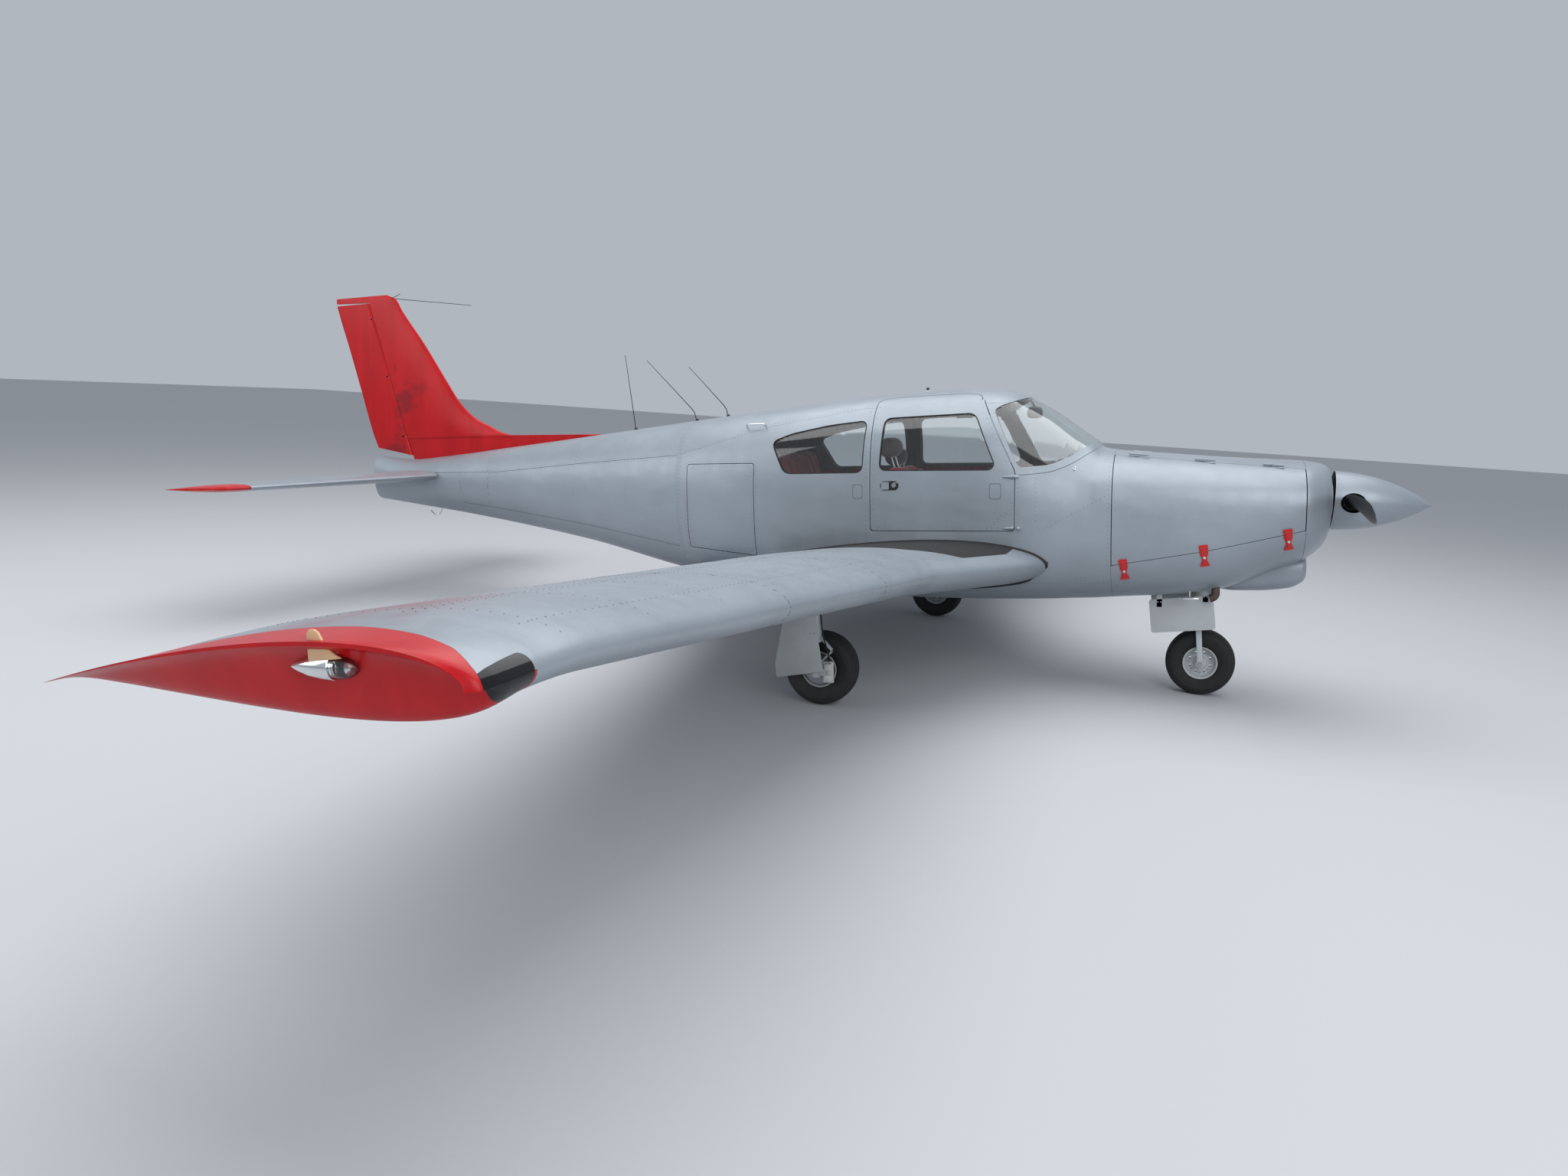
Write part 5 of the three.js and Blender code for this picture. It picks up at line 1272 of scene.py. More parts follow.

# Wheels: cast halves painted light grey, with a turned flange, a dished web pierced by round
# holes, and a ring of tie bolts on each side.
RIM = [(-0.052, 0.0208), (-0.052, 0.033), (-0.050, 0.036), (-0.030, 0.038), (-0.024, 0.044),
    (-0.021, 0.060), (-0.024, 0.078), (-0.034, 0.086), (-0.054, 0.088), (-0.060, 0.0895), (-0.0655, 0.094),
    (-0.0665, 0.098), (-0.0640, 0.1005), (-0.0600, 0.0985), (-0.056, 0.0935), (-0.050, 0.0915)]
RIM += [(-y, r) for y, r in reversed(RIM)]
RIM.append(RIM[0])
for name, (x, z, y, body) in WHEELS.items():
    hub = Vector((x, y, z))
    holes = []
    for i in range(8):
        turn = pi / 4 * i + pi / 8
        spot = hub + Vector((cos(turn) * 0.062, 0, sin(turn) * 0.062))
        holes.append(crosswise(spot, -0.05, 0.05, 0.0085, 20))
    rim = cut(turned(RIM, hub, (0, 1, 0), 72), *holes)
    fit("rim_" + name, rim, GEAR, body, "wheel_" + name)
    metal = []
    for face in (1, -1):
        for i in range(8):
            turn = pi / 4 * i
            out = Vector((cos(turn) * 0.066, face * 0.02, sin(turn) * 0.066))
            metal.append(crosswise(hub + out, 0, face * 0.009, 0.0065, 6))
            metal.append(crosswise(hub + out, 0, face * 0.014, 0.0036, 10))
    valve = hub + Vector((0.07, -0.05, 0.02))
    metal.append(rod(valve, valve + Vector((0.006, -0.022, 0)), 0.0035, 10))
    fit("tie_bolts_" + name, metal, STEEL, body)


# Gear legs: oleo struts with a painted outer tube, a chromed sliding tube, torque links, an axle
# with its nut, and on each main wheel a disc brake whose caliper is painted white.
def strip(a, b, wide, thick, bevel=0.001, side=Vector((0, 1, 0))):
    """A flat bar from one point to another, its width along one direction."""
    a, b = Vector(a), Vector(b)
    way = (b - a).normalized()
    across = (side - way * side.dot(way)).normalized()
    axes = Matrix((way, across, way.cross(across))).transposed().to_4x4()
    return block(((b - a).length, wide, thick), bevel, Matrix.Translation((a + b) / 2) @ axes)


for name, side in SIDES:
    x, z = WHEELS[name][:2]
    y = side * LEG_Y
    painted = [rod((x, y, 0.56), (x, y, 0.822), 0.037, 32, 0.003),
        rod((x, y, 0.548), (x, y, 0.566), 0.041, 32, 0.003),
        rod((x - 0.07, y, 0.811), (x + 0.07, y, 0.811), 0.024, 24, 0.002),
        rod((x, y, z - 0.03), (x, y, 0.452), 0.028, 28, 0.003),
        crosswise((x, y, z), -side * 0.01, side * 0.02, 0.03, 28, 0.003),
        strip((x + 0.026, y, 0.582), (x + 0.095, y, 0.505), 0.03, 0.008),
        strip((x + 0.095, y, 0.497), (x + 0.02, y, 0.425), 0.03, 0.008),
        strip((x, y + side * 0.016, z), (x + 0.06, y + side * 0.016, z), 0.036, 0.01,
        side=Vector((0, 0, 1)))]
    fit("main_leg_paint_" + name, painted, GEAR, stands_for="main_leg_" + name)
    fit("oleo_tube_" + name, rod((x, y, 0.44), (x, y, 0.556), 0.0245, 28), CHROME)
    metal = [
        rod((x, y + side * 0.022, z), (x, side * 1.383, z), 0.0198, 24),
        rod((x, side * 1.4, z), (x, side * 1.386, z), 0.019, 6, 0.002),
        crosswise((x + 0.095, y, 0.501), -0.018, 0.018, 0.006, 12),
        crosswise((x + 0.026, y, 0.582), -0.02, 0.02, 0.006, 12),
        crosswise((x + 0.02, y, 0.425), -0.02, 0.02, 0.006, 12),
    ]
    fit("main_axle_" + name, metal, STEEL)
    disc = [(0, 0.042), (0, 0.083), (0.004, 0.083), (0.004, 0.042), (0, 0.042)]
    hat = [(0, 0.03), (0.0, 0.045), (0.006, 0.045), (0.006, 0.03), (0, 0.03)]
    at = (x, side * WHEEL_Y + side * 0.0565, z)
    fit("brake_disc_" + name, [turned(disc, at, (0, side, 0), 64), turned(hat, at, (0, side, 0), 48)],
        STEEL, name + "_wheel")
    body = [
        block((0.062, 0.022, 0.118), 0.008, (x + 0.066, side * (WHEEL_Y + 0.103), z - 0.004)),
        block((0.046, 0.03, 0.04), 0.01, (x + 0.07, side * (WHEEL_Y + 0.12), z + 0.026)),
        block((0.046, 0.03, 0.04), 0.01, (x + 0.07, side * (WHEEL_Y + 0.12), z - 0.034)),
        rod((x + 0.088, side * 1.575, z + 0.045), (x + 0.088, side * 1.6, z + 0.062), 0.005, 12),
    ]
    fit("brake_caliper_" + name, body, WHITE)
    hose = curve([(x + 0.088, side * 1.6, z + 0.062), (x + 0.08, side * 1.606, 0.49),
        (x + 0.06, side * 1.604, 0.56), (x + 0.045, side * 1.6, 0.64), (x + 0.04, side * 1.598, 0.78)], 5)
    fit("brake_hose_" + name, pipe(hose, 0.0045, 8), SEAL_AND_SHADE)

# Nose gear: a fixed outer tube on two braces in the well, and below it the steering fork, with
# two straight legs down to the axle, and a shimmy damper across the tube.
NX, NZ = WHEELS["nose"][:2]
STEER = Vector((-0.032, 0, 0.76 - NZ)).normalized()


def on_steer(z):
    return Vector((NX + STEER.x / STEER.z * (z - NZ), 0, z))


braces = [
    rod(on_steer(0.562), on_steer(0.79), 0.036, 32, 0.003),
    crosswise(on_steer(0.7), -0.13, 0.13, 0.02, 24),
    *(rod(on_steer(0.7) + Vector((0, y, 0)), (FIREWALL + 0.002, y, 0.7), 0.014, 16)
      for y in (0.118, -0.118)),
]
fit("nose_leg_tube", braces, GEAR, stands_for="nose_leg")
crown = on_steer(0.451)
legs = [
    rod(on_steer(0.47), on_steer(0.52), 0.03, 28, 0.003),
    block((0.07, 0.214, 0.032), 0.008, crown),
    block((0.05, 0.078, 0.02), 0.005, on_steer(0.528) - Vector((0.028, 0, 0))),
]
ends = []
for side in (1, -1):
    knee, foot = Vector((crown.x, side * 0.099, 0.448)), Vector((NX, side * 0.099, NZ))
    legs += [
        strip(knee, foot - Vector((0, 0, 0.01)), 0.024, 0.034, 0.006),
        crosswise(foot, -side * 0.011, side * 0.009, 0.024, 28, 0.002),
    ]
    ends += [
        crosswise(foot, side * 0.008, side * 0.014, 0.017, 28, 0.001),
        crosswise(foot, side * 0.013, side * 0.019, 0.0125, 6, 0.001),
        crosswise(foot, side * 0.018, side * 0.021, 0.0065, 16),
    ]
fit("nose_fork_paint", legs, GEAR, "nose_steering", "nose_fork")
fit("nose_sliding_tube", rod(on_steer(0.52), on_steer(0.5615), 0.0245, 28), CHROME, "nose_steering")
ends.append(crosswise((NX, 0, NZ), -0.095, 0.095, 0.0198, 24))
fit("nose_axle", ends, STEEL, "nose_steering")


# Gear doors: flat aluminium plates painted light grey, with rolled lower edges. The nose pair
# hangs from hinges either side of the wheel well; each main door is clamped to its leg.
def plate(outline, low, high, corner):
    """A flat plate with rounded corners and softened edges."""
    bm = slab(rounded(outline, corner), low, high)
    edges = [e for e in bm.edges if abs(e.verts[0].co.y - e.verts[1].co.y) < 1e-5]
    bmesh.ops.bevel(bm, geom=edges, offset=0.001, segments=2, profile=0.5, affect="EDGES", material=-1)
    return bm


NOSE_DOOR_Y, HINGE_Y = 0.1675, 0.169
NOSE_DOOR = ((-0.281, 0.602), (0.082, 0.636), (0.101, 0.43), (-0.263, 0.398))
MAIN_DOOR = ((-2.082, 0.766), (-1.935, 0.766), (-1.882, 0.395), (-2.152, 0.35), (-2.156, 0.425))
for name, side in SIDES:
    pieces = [plate(NOSE_DOOR, *sorted((side * 0.166, side * 0.169)), 0.016)]
    pieces.append(rod((-0.25, side * NOSE_DOOR_Y, 0.4035), (0.088, side * NOSE_DOOR_Y, 0.4325), 0.0032, 12))
    hinges = []
    for x, z in ((-0.22, 0.649), (0.04, 0.686)):
        pieces.append(block((0.032, 0.003, 0.1), 0.001, (x, side * NOSE_DOOR_Y, z - 0.042)))
        hinges.append(rod((x - 0.018, side * HINGE_Y, z), (x + 0.018, side * HINGE_Y, z), 0.006, 16))
        hinges += [rod((x + way * 0.008, side * HINGE_Y, z - 0.06),
            (x + way * 0.008, side * 0.1712, z - 0.06), 0.0035, 10) for way in (-1, 1)]
    fit("nose_door_plate_" + name, pieces, GEAR, stands_for="nose_door_" + name)
    fit("nose_door_hinges_" + name, hinges, STEEL)
    y = side * (LEG_Y + 0.0415)
    pieces = [plate(MAIN_DOOR, *sorted((y - 0.0015, y + 0.0015)), 0.014)]
    pieces.append(rod((-1.892, y, 0.3955), (-2.144, y, 0.3535), 0.0032, 12))
    clamps = []
    for z in (0.7, 0.6):
        inner = Vector((MAIN_X, side * (LEG_Y + 0.036), z))
        pieces.append(rod(inner, (MAIN_X, y, z), 0.022, 24))
        clamps += [rod((MAIN_X + dx, y, z), (MAIN_X + dx, y + side * 0.0035, z), 0.005, 12)
                   for dx in (-0.012, 0.012)]
    fit("main_door_plate_" + name, pieces, GEAR, stands_for="main_gear_door_" + name)
    fit("main_door_screws_" + name, clamps, STEEL)


# Propeller: two twisted aluminium blades clamped in a steel hub and painted black, worn to the
# metal along the leading edges. It is parked level. Rings follow the pitch from root to tip.
THRUST = Vector((0.99779, 0, -0.06639))
SPIN_START = Vector((0.711, 0, 1.186))
HUB = SPIN_START + THRUST * 0.0962
# distance from the hub, chord, thickness, pitch in degrees
BLADE = (
    (0.060, 0.074, 0.074, 60), (0.120, 0.076, 0.062, 55), (0.190, 0.118, 0.040, 46),
    (0.320, 0.150, 0.026, 37), (0.520, 0.158, 0.018, 28), (0.720, 0.148, 0.012, 22),
    (0.880, 0.118, 0.009, 19), (0.950, 0.078, 0.007, 18), (0.965, 0.036, 0.005, 18),
)


def blade_black():
    made, tree, shader = finish_of("blade_black", IOR=1.5)
    worn = weather(tree)
    edge = node(tree, "Attribute", attribute_name="worn_edge").outputs["Fac"]
    torn = node(tree, "Math", {0: edge, 1: ramp(tree, worn["Speckle"], 0.2, 1.4, 0.35, 0.6)},
                operation="MULTIPLY").outputs[0]
    feed(shader, Base_Color=tint(tree, torn, (0.01, 0.01, 0.011, 1), (0.3, 0.3, 0.31, 1)),
         Roughness=ramp(tree, worn["Speckle"], 0.34, 0.52, 0.3, 0.7),
         Metallic=ramp(tree, torn, 0, 0.9))
    return made


def blade_ring(r, side):
    _, chord, thick, pitch = between(BLADE, r)
    angle, keen = radians(pitch), min(max((r - 0.12) / 0.1, 0), 1)

    def point(v):
        along = chord / 2 * cos(2 * pi * v)
        deep = thick / 2 * sin(2 * pi * v) * (1 - 0.5 * keen * (0.5 - along / chord))
        return Vector((
            HUB.x + along * sin(angle) + deep * cos(angle), side * r,
            HUB.z + side * (along * cos(angle) - deep * sin(angle)),
        ))

    return point


BLADE_BLACK = blade_black(), "blade_metal"
places = [0.06 + 0.905 * (1 - (1 - i / 44) ** 1.3) for i in range(45)]
blades = joined(*(lofted(places, 36, lambda r, side=side: blade_ring(r, side)) for side in (1, -1)))
mask = blades.verts.layers.float.new("worn_edge")
for vert in blades.verts:
    r = min(max(abs(vert.co.y), 0.06), 0.965)
    ahead_by = (vert.co - blade_ring(r, copysign(1, vert.co.y))(0)).length
    vert[mask] = max(1 - ahead_by / 0.012, 0) * min(max((r - 0.2) / 0.2, 0), 1)
fit("propeller_blades", blades, BLADE_BLACK, "propeller", "propeller")
parts = [rod(Vector((0.6405, 0, SPIN_START.z + 0.0047)), HUB + THRUST * 0.072, 0.062, 40, 0.003)]
for side in (1, -1):
    parts += [
        crosswise(HUB, 0, side * 0.092, 0.046, 32, 0.003),
        crosswise(HUB, side * 0.062, side * 0.076, 0.052, 32, 0.002),
    ]
fit("propeller_hub", parts, BLADE_BLACK, "propeller")


# Spinner: spun aluminium painted like the cowl, with an oval hole for each blade, on a backing
# plate at its rim. Screws hold the two together.
def studs(places, radius, tall=0.0012, sides=8):
    """Low heads, one at each place: rivets or screws."""
    bm = bmesh.new()
    for place in places:
        bmesh.ops.create_cone(bm, cap_ends=True, segments=sides, radius1=radius, radius2=radius * 0.6,
                              depth=tall * 2, matrix=place)
    return bm


SPIN_LONG, SPIN_WIDE = 0.5121, 0.17
SPINNER = ((0, 1), (0.15, 0.975), (0.38, 0.87), (0.6, 0.67), (0.8, 0.4), (0.95, 0.12), (1, 0))
shares = [1 - (1 - i / 40) ** 1.1 for i in range(40)]
cone = [(SPIN_LONG * share, SPIN_WIDE * between(SPINNER, share)[1]) for share in shares]
cone += [(SPIN_LONG - 0.0001, 0.002), (SPIN_LONG, 0)]
inside = [(0.03, 0), (0.03, 0.1665), *((a, r - 0.004) for a, r in cone if 0.03 < a < 0.46), (0.462, 0)]
bore = [(-0.1, 0), (-0.1, 0.0632), (0.2, 0.0632), (0.2, 0)]
shell = cut(*(
    turned(profile, SPIN_START, THRUST, sides)
    for profile, sides in (([(0, 0), *cone], 96), (inside, 72), (bore, 48))
))
cutter = bmesh.new()
bmesh.ops.create_cone(cutter, cap_ends=True, segments=64, radius1=1, radius2=1, depth=0.8)
oval = Matrix.Translation(HUB + Vector((0.002, 0, 0))) @ Matrix.Rotation(radians(8), 4, "Y")
oval = oval @ Matrix.Diagonal((0.067, 1, 0.056, 1)) @ Matrix.Rotation(pi / 2, 4, "X")
shell = cut(shell, placed(cutter, oval))
# Faces inside the shell take the black: painted shade seen through the blade holes.
for face in shell.faces:
    middle = face.calc_center_median() - SPIN_START
    along = middle.dot(THRUST)
    if (middle - THRUST * along).length < SPIN_WIDE * between(SPINNER, along / SPIN_LONG)[1] - 0.0025:
        face.material_index = 1
fit("spinner_skin", shell, ([PAINT[0], SEAL_AND_SHADE[0]], "skin_paint"), "propeller", "spinner")
one, two = Vector((0, 1, 0)), THRUST.cross(Vector((0, 1, 0)))
places = []
for i in range(24):
    away = one * cos(pi * i / 12 + 0.1) + two * sin(pi * i / 12 + 0.1)
    seat = Matrix((THRUST, away.cross(THRUST), away)).transposed().to_4x4()
    places.append(Matrix.Translation(SPIN_START + THRUST * 0.018 + away * 0.1695) @ seat)
fit("spinner_screws", studs(places, 0.0042, 0.0014, 12), STEEL, "propeller")

# Exhaust: one stained steel pipe that comes out under the tray's right side and turns aft. Its
# end is cut square and is open.
route = curve([(0.093, -0.232, 0.718), (0.0935, -0.232, 0.67), (0.092, -0.232, 0.648),
    (0.08, -0.232, 0.634), (0.061, -0.232, 0.627)], 4)
bore = [*route[2:], route[-1] + Vector((-0.02, 0, -0.005))]
outlet = cut(pipe(route, 0.0235, 28), pipe(bore, 0.0205, 24), body_solid(BOWL_SEAM, FIREWALL, 0.002))
EXHAUST = stained_metal(), "engine_metal"
fit("exhaust_pipe", outlet, EXHAUST, stands_for="exhaust")

# Engine: a flat four on the thrust line, hidden until the cowl's side doors are opened. Cast
# crankcase, four finned barrels with black rocker boxes and leads, a sump and a shaft.
CAST = aged("cast_metal", (0.4, 0.7), ((0.09, 0.088, 0.085), (0.21, 0.21, 0.205)),
            grain=(0.3, 0.001), Metallic=0.8), "engine_metal"
metal = [block((0.640, 0.230, 0.240), 0.020, (0.045, 0, 1.160)),
    block((0.420, 0.330, 0.110), 0.025, (0.030, 0, 0.966)),
    rod((0.360, 0, 1.208), (0.640, 0, 1.1908), 0.052, 32, 0.003),
    rod((-0.482, 0, 1.10), (-0.26, 0, 1.10), 0.055, 28, 0.004)]
boxes = []
for side in (1, -1):
    for x in (0.235, -0.055):
        x += 0.03 * (side > 0)
        profile = [(0, 0), (0, 0.062)]
        for k in range(12):
            profile += [(0.004 + 0.0105 * k, 0.076), (0.008 + 0.0105 * k, 0.076),
                (0.0085 + 0.0105 * k, 0.062), (0.0135 + 0.0105 * k, 0.062)]
        metal.append(turned([*profile, (0.134, 0)], (x, side * 0.112, 1.165), (0, side, 0), 32))
        metal.append(block((0.15, 0.05, 0.15), 0.012, (x, side * 0.268, 1.165)))
        boxes.append(block((0.13, 0.03, 0.11), 0.012, (x, side * 0.309, 1.19)))
        boxes.append(pipe(curve([(x, side * 0.27, 1.235), (x - 0.02, side * 0.22, 1.27),
            (x - 0.1, side * 0.12, 1.275), (-0.22, side * 0.06, 1.24)], 5), 0.0045, 8))
fit("engine_castings", metal, CAST, stands_for="engine_block")
fit("engine_boxes_and_leads", boxes, BLADE_BLACK)
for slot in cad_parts["firewall"].material_slots:
    slot.material = CAST[0]


# Seats: two in front on steel frames and a bench behind, foam under red velour. Each pad is
# swollen by a cloth simulation, then the sewn channels are pressed in. Round headrests on posts.
def velour(name, one, other):
    """Velour: a deep soft nap that catches light at the edges, rubbed in patches."""
    made, tree, shader = finish_of(name, Roughness=0.9, Sheen_Weight=0.5, Sheen_Roughness=0.4)
    worn = weather(tree)
    where = node(tree, "TexCoord").outputs["Object"]
    nap = node(tree, "TexNoise", {"Vector": where, "Scale": 420.0, "Detail": 3.0}).outputs[0]
    rubbed = ramp(tree, worn["Blotch"], 0, 1, 0.4, 0.6)
    base = tint(tree, rubbed, tint(tree, nap, one, other), tint(tree, nap, other, one))
    bump = node(tree, "Bump", {"Height": nap, "Strength": 0.5, "Distance": 0.0012})
    feed(shader, Base_Color=base, Normal=bump.outputs[0])
    return made


VELOUR = velour("seat_velour", (0.27, 0.014, 0.022, 1), (0.48, 0.035, 0.05, 1)), "seat_cover"
HEADREST_CLOTH = velour("headrest_cloth", (0.085, 0.06, 0.058, 1), (0.15, 0.11, 0.105, 1)), "seat_cover"
SEAT_Y = 0.262
CHANNEL = 0.011  # depth of the sewn channels, and their half width
SWELL = 0.022  # the most that a pad's cover is pushed out
# name: side outline, half width, channels' spacing across, cross seams as shares of the length
PADS = {
    "front_cushion": (((-1.158, 1.022), (-1.142, 1.08), (-1.162, 1.138), (-1.63, 1.12), (-1.64, 1.012)),
        0.225, 0.092, (0.3,)),
    "front_back": (((-1.572, 1.14), (-1.66, 1.132), (-1.84, 1.436), (-1.768, 1.452)),
        0.22, 0.092, (0.28, 0.8)),
    "rear_cushion": (((-2.07, 0.972), (-2.05, 1.055), (-2.07, 1.095), (-2.47, 1.074), (-2.488, 0.955)),
        0.495, 0.11, (0.3,)),
    "rear_back": (((-2.442, 1.085), (-2.538, 1.072), (-2.676, 1.535), (-2.604, 1.548)),
        0.44, 0.11, (0.22, 0.34)),
}


def channelled(mesh, low, high, half, spacing, seams):
    """Presses sewn channels and cross seams into a swollen pad, on the side that is sat on."""
    along = (high - low).normalized()
    face = Vector((-along.z, 0, along.x))
    if face.x < -0.5 or face.z < -0.5:
        face = -face
    span = (high - low).length
    count = round(2 * half / spacing)
    for vert in mesh.verts:
        if vert.normal.dot(face) < 0.25:
            continue
        share = (vert.co - low).dot(along) / span
        across = [abs(vert.co.y - half * (2 * k / count - 1)) for k in range(1, count)]
        near = min([*across, *(abs(share - s) * span for s in seams)])
        vert.co -= vert.normal * CHANNEL * max(1 - near / CHANNEL, 0) ** 1.5


# The far seat's back is let down a little further than the near one's
RECLINE = {
    label: Matrix.Translation((-1.61, 0, 1.12)) @ Matrix.Rotation(-radians(turn), 4, "Y")
    @ Matrix.Translation((1.61, 0, -1.12)) for label, turn in (("_left", 14), ("_right", 0))
}
swollen = {}
for name, (outline, half, spacing, seams) in PADS.items():
    lump = slab(outline, -half, half)
    bmesh.ops.bevel(lump, geom=lump.edges, offset=0.026, segments=3, profile=0.5, affect="EDGES",
        material=-1)
    mesh = bpy.data.meshes.new(name)
    lump.to_mesh(mesh)
    lump.free()
    blank = in_scene(name, mesh)
    remesh = blank.modifiers.new("remesh", "REMESH")
    remesh.mode, remesh.voxel_size = "VOXEL", 0.01
    blank.data = evaluated(blank)
    blank.modifiers.clear()
    bpy.data.meshes.remove(mesh)
    cloth = blank.modifiers.new("cloth", "CLOTH")
    cloth.settings.use_pressure, cloth.settings.uniform_pressure_force = True, 4
    cloth.settings.effector_weights.gravity = 0
    swollen[name] = blank
for step in range(1, 21):
    bpy.context.scene.frame_set(step)
for name, blank in swollen.items():
    outline, half, spacing, seams = PADS[name]
    rest = [vert.co.copy() for vert in blank.data.vertices]
    mesh = evaluated(blank)
    for vert, was in zip(mesh.vertices, rest):
        move = vert.co - was
        vert.co = was + move * min(1, SWELL / max(move.length, 1e-6))
    swollen[name] = mesh
    bpy.data.objects.remove(blank)
bpy.context.scene.frame_set(1)
for name, mesh in swollen.items():
    outline, half, spacing, seams = PADS[name]
    ends = (outline[0], outline[-1]) if "back" in name else (outline[3], outline[2])
    low, high = (Vector((x, 0, z)) for x, z in ends)
    for label, y in (("_left", SEAT_Y), ("_right", -SEAT_Y)) if "front" in name else (("", 0),):
        pad = bmesh.new()
        pad.from_mesh(mesh)
        bmesh.ops.subdivide_edges(pad, edges=pad.edges, cuts=1, smooth=0.6, use_grid_fill=True)
        pad.normal_update()
        channelled(pad, low, high, half, spacing, seams)
        if name == "front_back":
            placed(pad, RECLINE[label])
        bmesh.ops.translate(pad, vec=(0, y, 0), verts=pad.verts)
        stands = "rear_seat" if "rear" in name else "front_seat" + label
        fit(name + label, pad, VELOUR, stands_for=stands, crease=80)
for label, y in (("left", SEAT_Y), ("right", -SEAT_Y)):
    roll = [(0, 0), (0, 0.03), (0.004, 0.046), (0.014, 0.056), (0.04, 0.0615), (0.11, 0.063),
        (0.18, 0.0615), (0.206, 0.056), (0.216, 0.046), (0.22, 0.03), (0.22, 0)]
    lean = RECLINE["_" + label]
    start = lean @ Vector((-1.85, 0, 1.552)) + Vector((0, y - 0.11, 0))
    headrest = fit("headrest_" + label, turned(roll, start, (0, 1, 0), 40), HEADREST_CLOTH)
    low, high = (lean @ Vector((x, y, z)) for x, z in ((-1.805, 1.4), (-1.848, 1.54)))
    steel = [rod(low + Vector((0, dy, 0)), high + Vector((0, dy, 0)), 0.006) for dy in (-0.05, 0.05)]
    for dy in (-0.17, 0.17):
        steel.append(pipe(curve([(-1.19, y + dy, 0.784), (-1.2, y + dy, 0.9), (-1.23, y + dy, 1.005),
            (-1.4, y + dy, 1.012), (-1.56, y + dy, 1.005), (-1.6, y + dy, 0.9), (-1.61, y + dy, 0.784)], 4),
            0.011, 10))
        steel.append(block((0.62, 0.03, 0.012), 0.003, (-1.4, y + dy, 0.7765)))
        steel.append(rod((-1.575, y + dy, 1.06), (-1.69, y + dy, 1.3), 0.01))
    fit("seat_frame_" + label, steel, STEEL)
    fit("seat_pan_" + label, block((0.44, 0.4, 0.012), 0.004, (-1.4, y, 1.008)), (SEAL_AND_SHADE[0], "panel_plastic"))

# Floor and bench: charcoal carpet on the floor, up the box that the bench stands on, and over
# the spar ahead of it.
carpet = shared(body_solid(-0.52, -3.19, WALL + 0.001), slab(oblong(-4, 1, -1, 1), 0.769, 0.777, "Z"))
bench = [block((0.36, 0.74, 0.194), 0.016, (-2.28, 0, 0.868)),
    block((0.1, 0.8, 0.1), 0.02, (-1.93, 0, 0.82))]
CARPET = velour("carpet", (0.018, 0.017, 0.018, 1), (0.045, 0.042, 0.043, 1)), "seat_cover"
fit("carpet_and_bench", [carpet, *bench], CARPET)


# Instrument panel: a black sheet with round dials, a radio stack and knobs, under a black hood
# with a padded edge. It stands on a centre pedestal below three engine knobs.
BLACK = aged("black_plastic", (0.42, 0.65, 0.3, 0.7), ((0.012, 0.012, 0.013), (0.03, 0.03, 0.031)),
             grain=(0.25, 0.0006), IOR=1.46), "panel_plastic"
crown = [(y / 100, 1.478 - 0.35 * (y / 100) ** 2) for y in range(-36, 37, 4)]
sheet = [(-0.43, 1.12), (-0.4, 1.33), *crown, (0.4, 1.33), (0.43, 1.12)]
hood = [*crown, *((y, z - 0.026) for y, z in reversed(crown))]
roll = pipe([(-0.757, y, z - 0.013) for y, z in crown], 0.017, 14)
foot = block((0.2, 0.12, 0.42), 0.01, (-0.6, 0, 0.985))
fit("instrument_panel_sheet", [slab(sheet, -0.714, -0.684, "X"), slab(hood, -0.757, -0.662, "X"), roll,
    foot], BLACK, stands_for="instrument_panel")
bezels, faces, marks = [], [], []
dials = [(0.262 + dy, z, 0.041) for dy in (-0.094, 0, 0.094) for z in (1.395, 1.25)] + [
    (-0.13, 1.4, 0.03), (-0.21, 1.4, 0.03), (-0.29, 1.38, 0.03), (-0.13, 1.32, 0.03), (-0.21, 1.32, 0.03),
    (0.262, 1.172, 0.022)]
for number, (y, z, r) in enumerate(dials):
    start = (-0.7135, y, z)
    bezels.append(turned([(0, 0), (0, r), (0.005, r), (0.007, r - 0.003), (0.007, r - 0.006),
        (0.003, r - 0.007), (0.003, 0)], start, (-1, 0, 0), 28))
    faces.append(rod((-0.714, y, z), (-0.7168, y, z), r - 0.0065, 24))
    turn = 0.9 + 1.7 * number
    marks.append(block((0.0008, 0.0016, r * 0.62), 0, Matrix.Translation((-0.7172, y, z))
        @ Matrix.Rotation(turn, 4, "X") @ Matrix.Translation((0, 0, r * 0.26))))
    for k in range(12):
        marks.append(block((0.0006, 0.0013, r * 0.14), 0, Matrix.Translation((-0.7169, y, z))
            @ Matrix.Rotation(pi * k / 6, 4, "X") @ Matrix.Translation((0, 0, r * 0.7))))
for k in range(4):
    z = 1.405 - 0.058 * k
    bezels.append(block((0.012, 0.16, 0.052), 0.003, (-0.718, 0, z)))
    faces.append(block((0.002, 0.09, 0.022), 0.0006, (-0.7245, 0, z + 0.006)))
    bezels += [rod((-0.722, dy, z - 0.01), (-0.738, dy, z - 0.01), 0.008, 16, end=0.007)
        for dy in (-0.066, 0.066)]
for dy in (-0.035, 0, 0.035):
    bezels += [rod((-0.7, dy, 1.15), (-0.752, dy, 1.15), 0.004, 10),
        rod((-0.75, dy, 1.15), (-0.772, dy, 1.15), 0.013, 18, 0.002, 0.011)]
DIAL = finish_of("dial_face", Base_Color=(0.006, 0.006, 0.007, 1), Roughness=0.12, Coat_Weight=0.6,
    Coat_Roughness=0.03)[0], "panel_plastic"
fit("panel_bezels", bezels, BLACK)
fit("panel_faces", faces, DIAL)
fit("panel_marks", marks, WHITE)

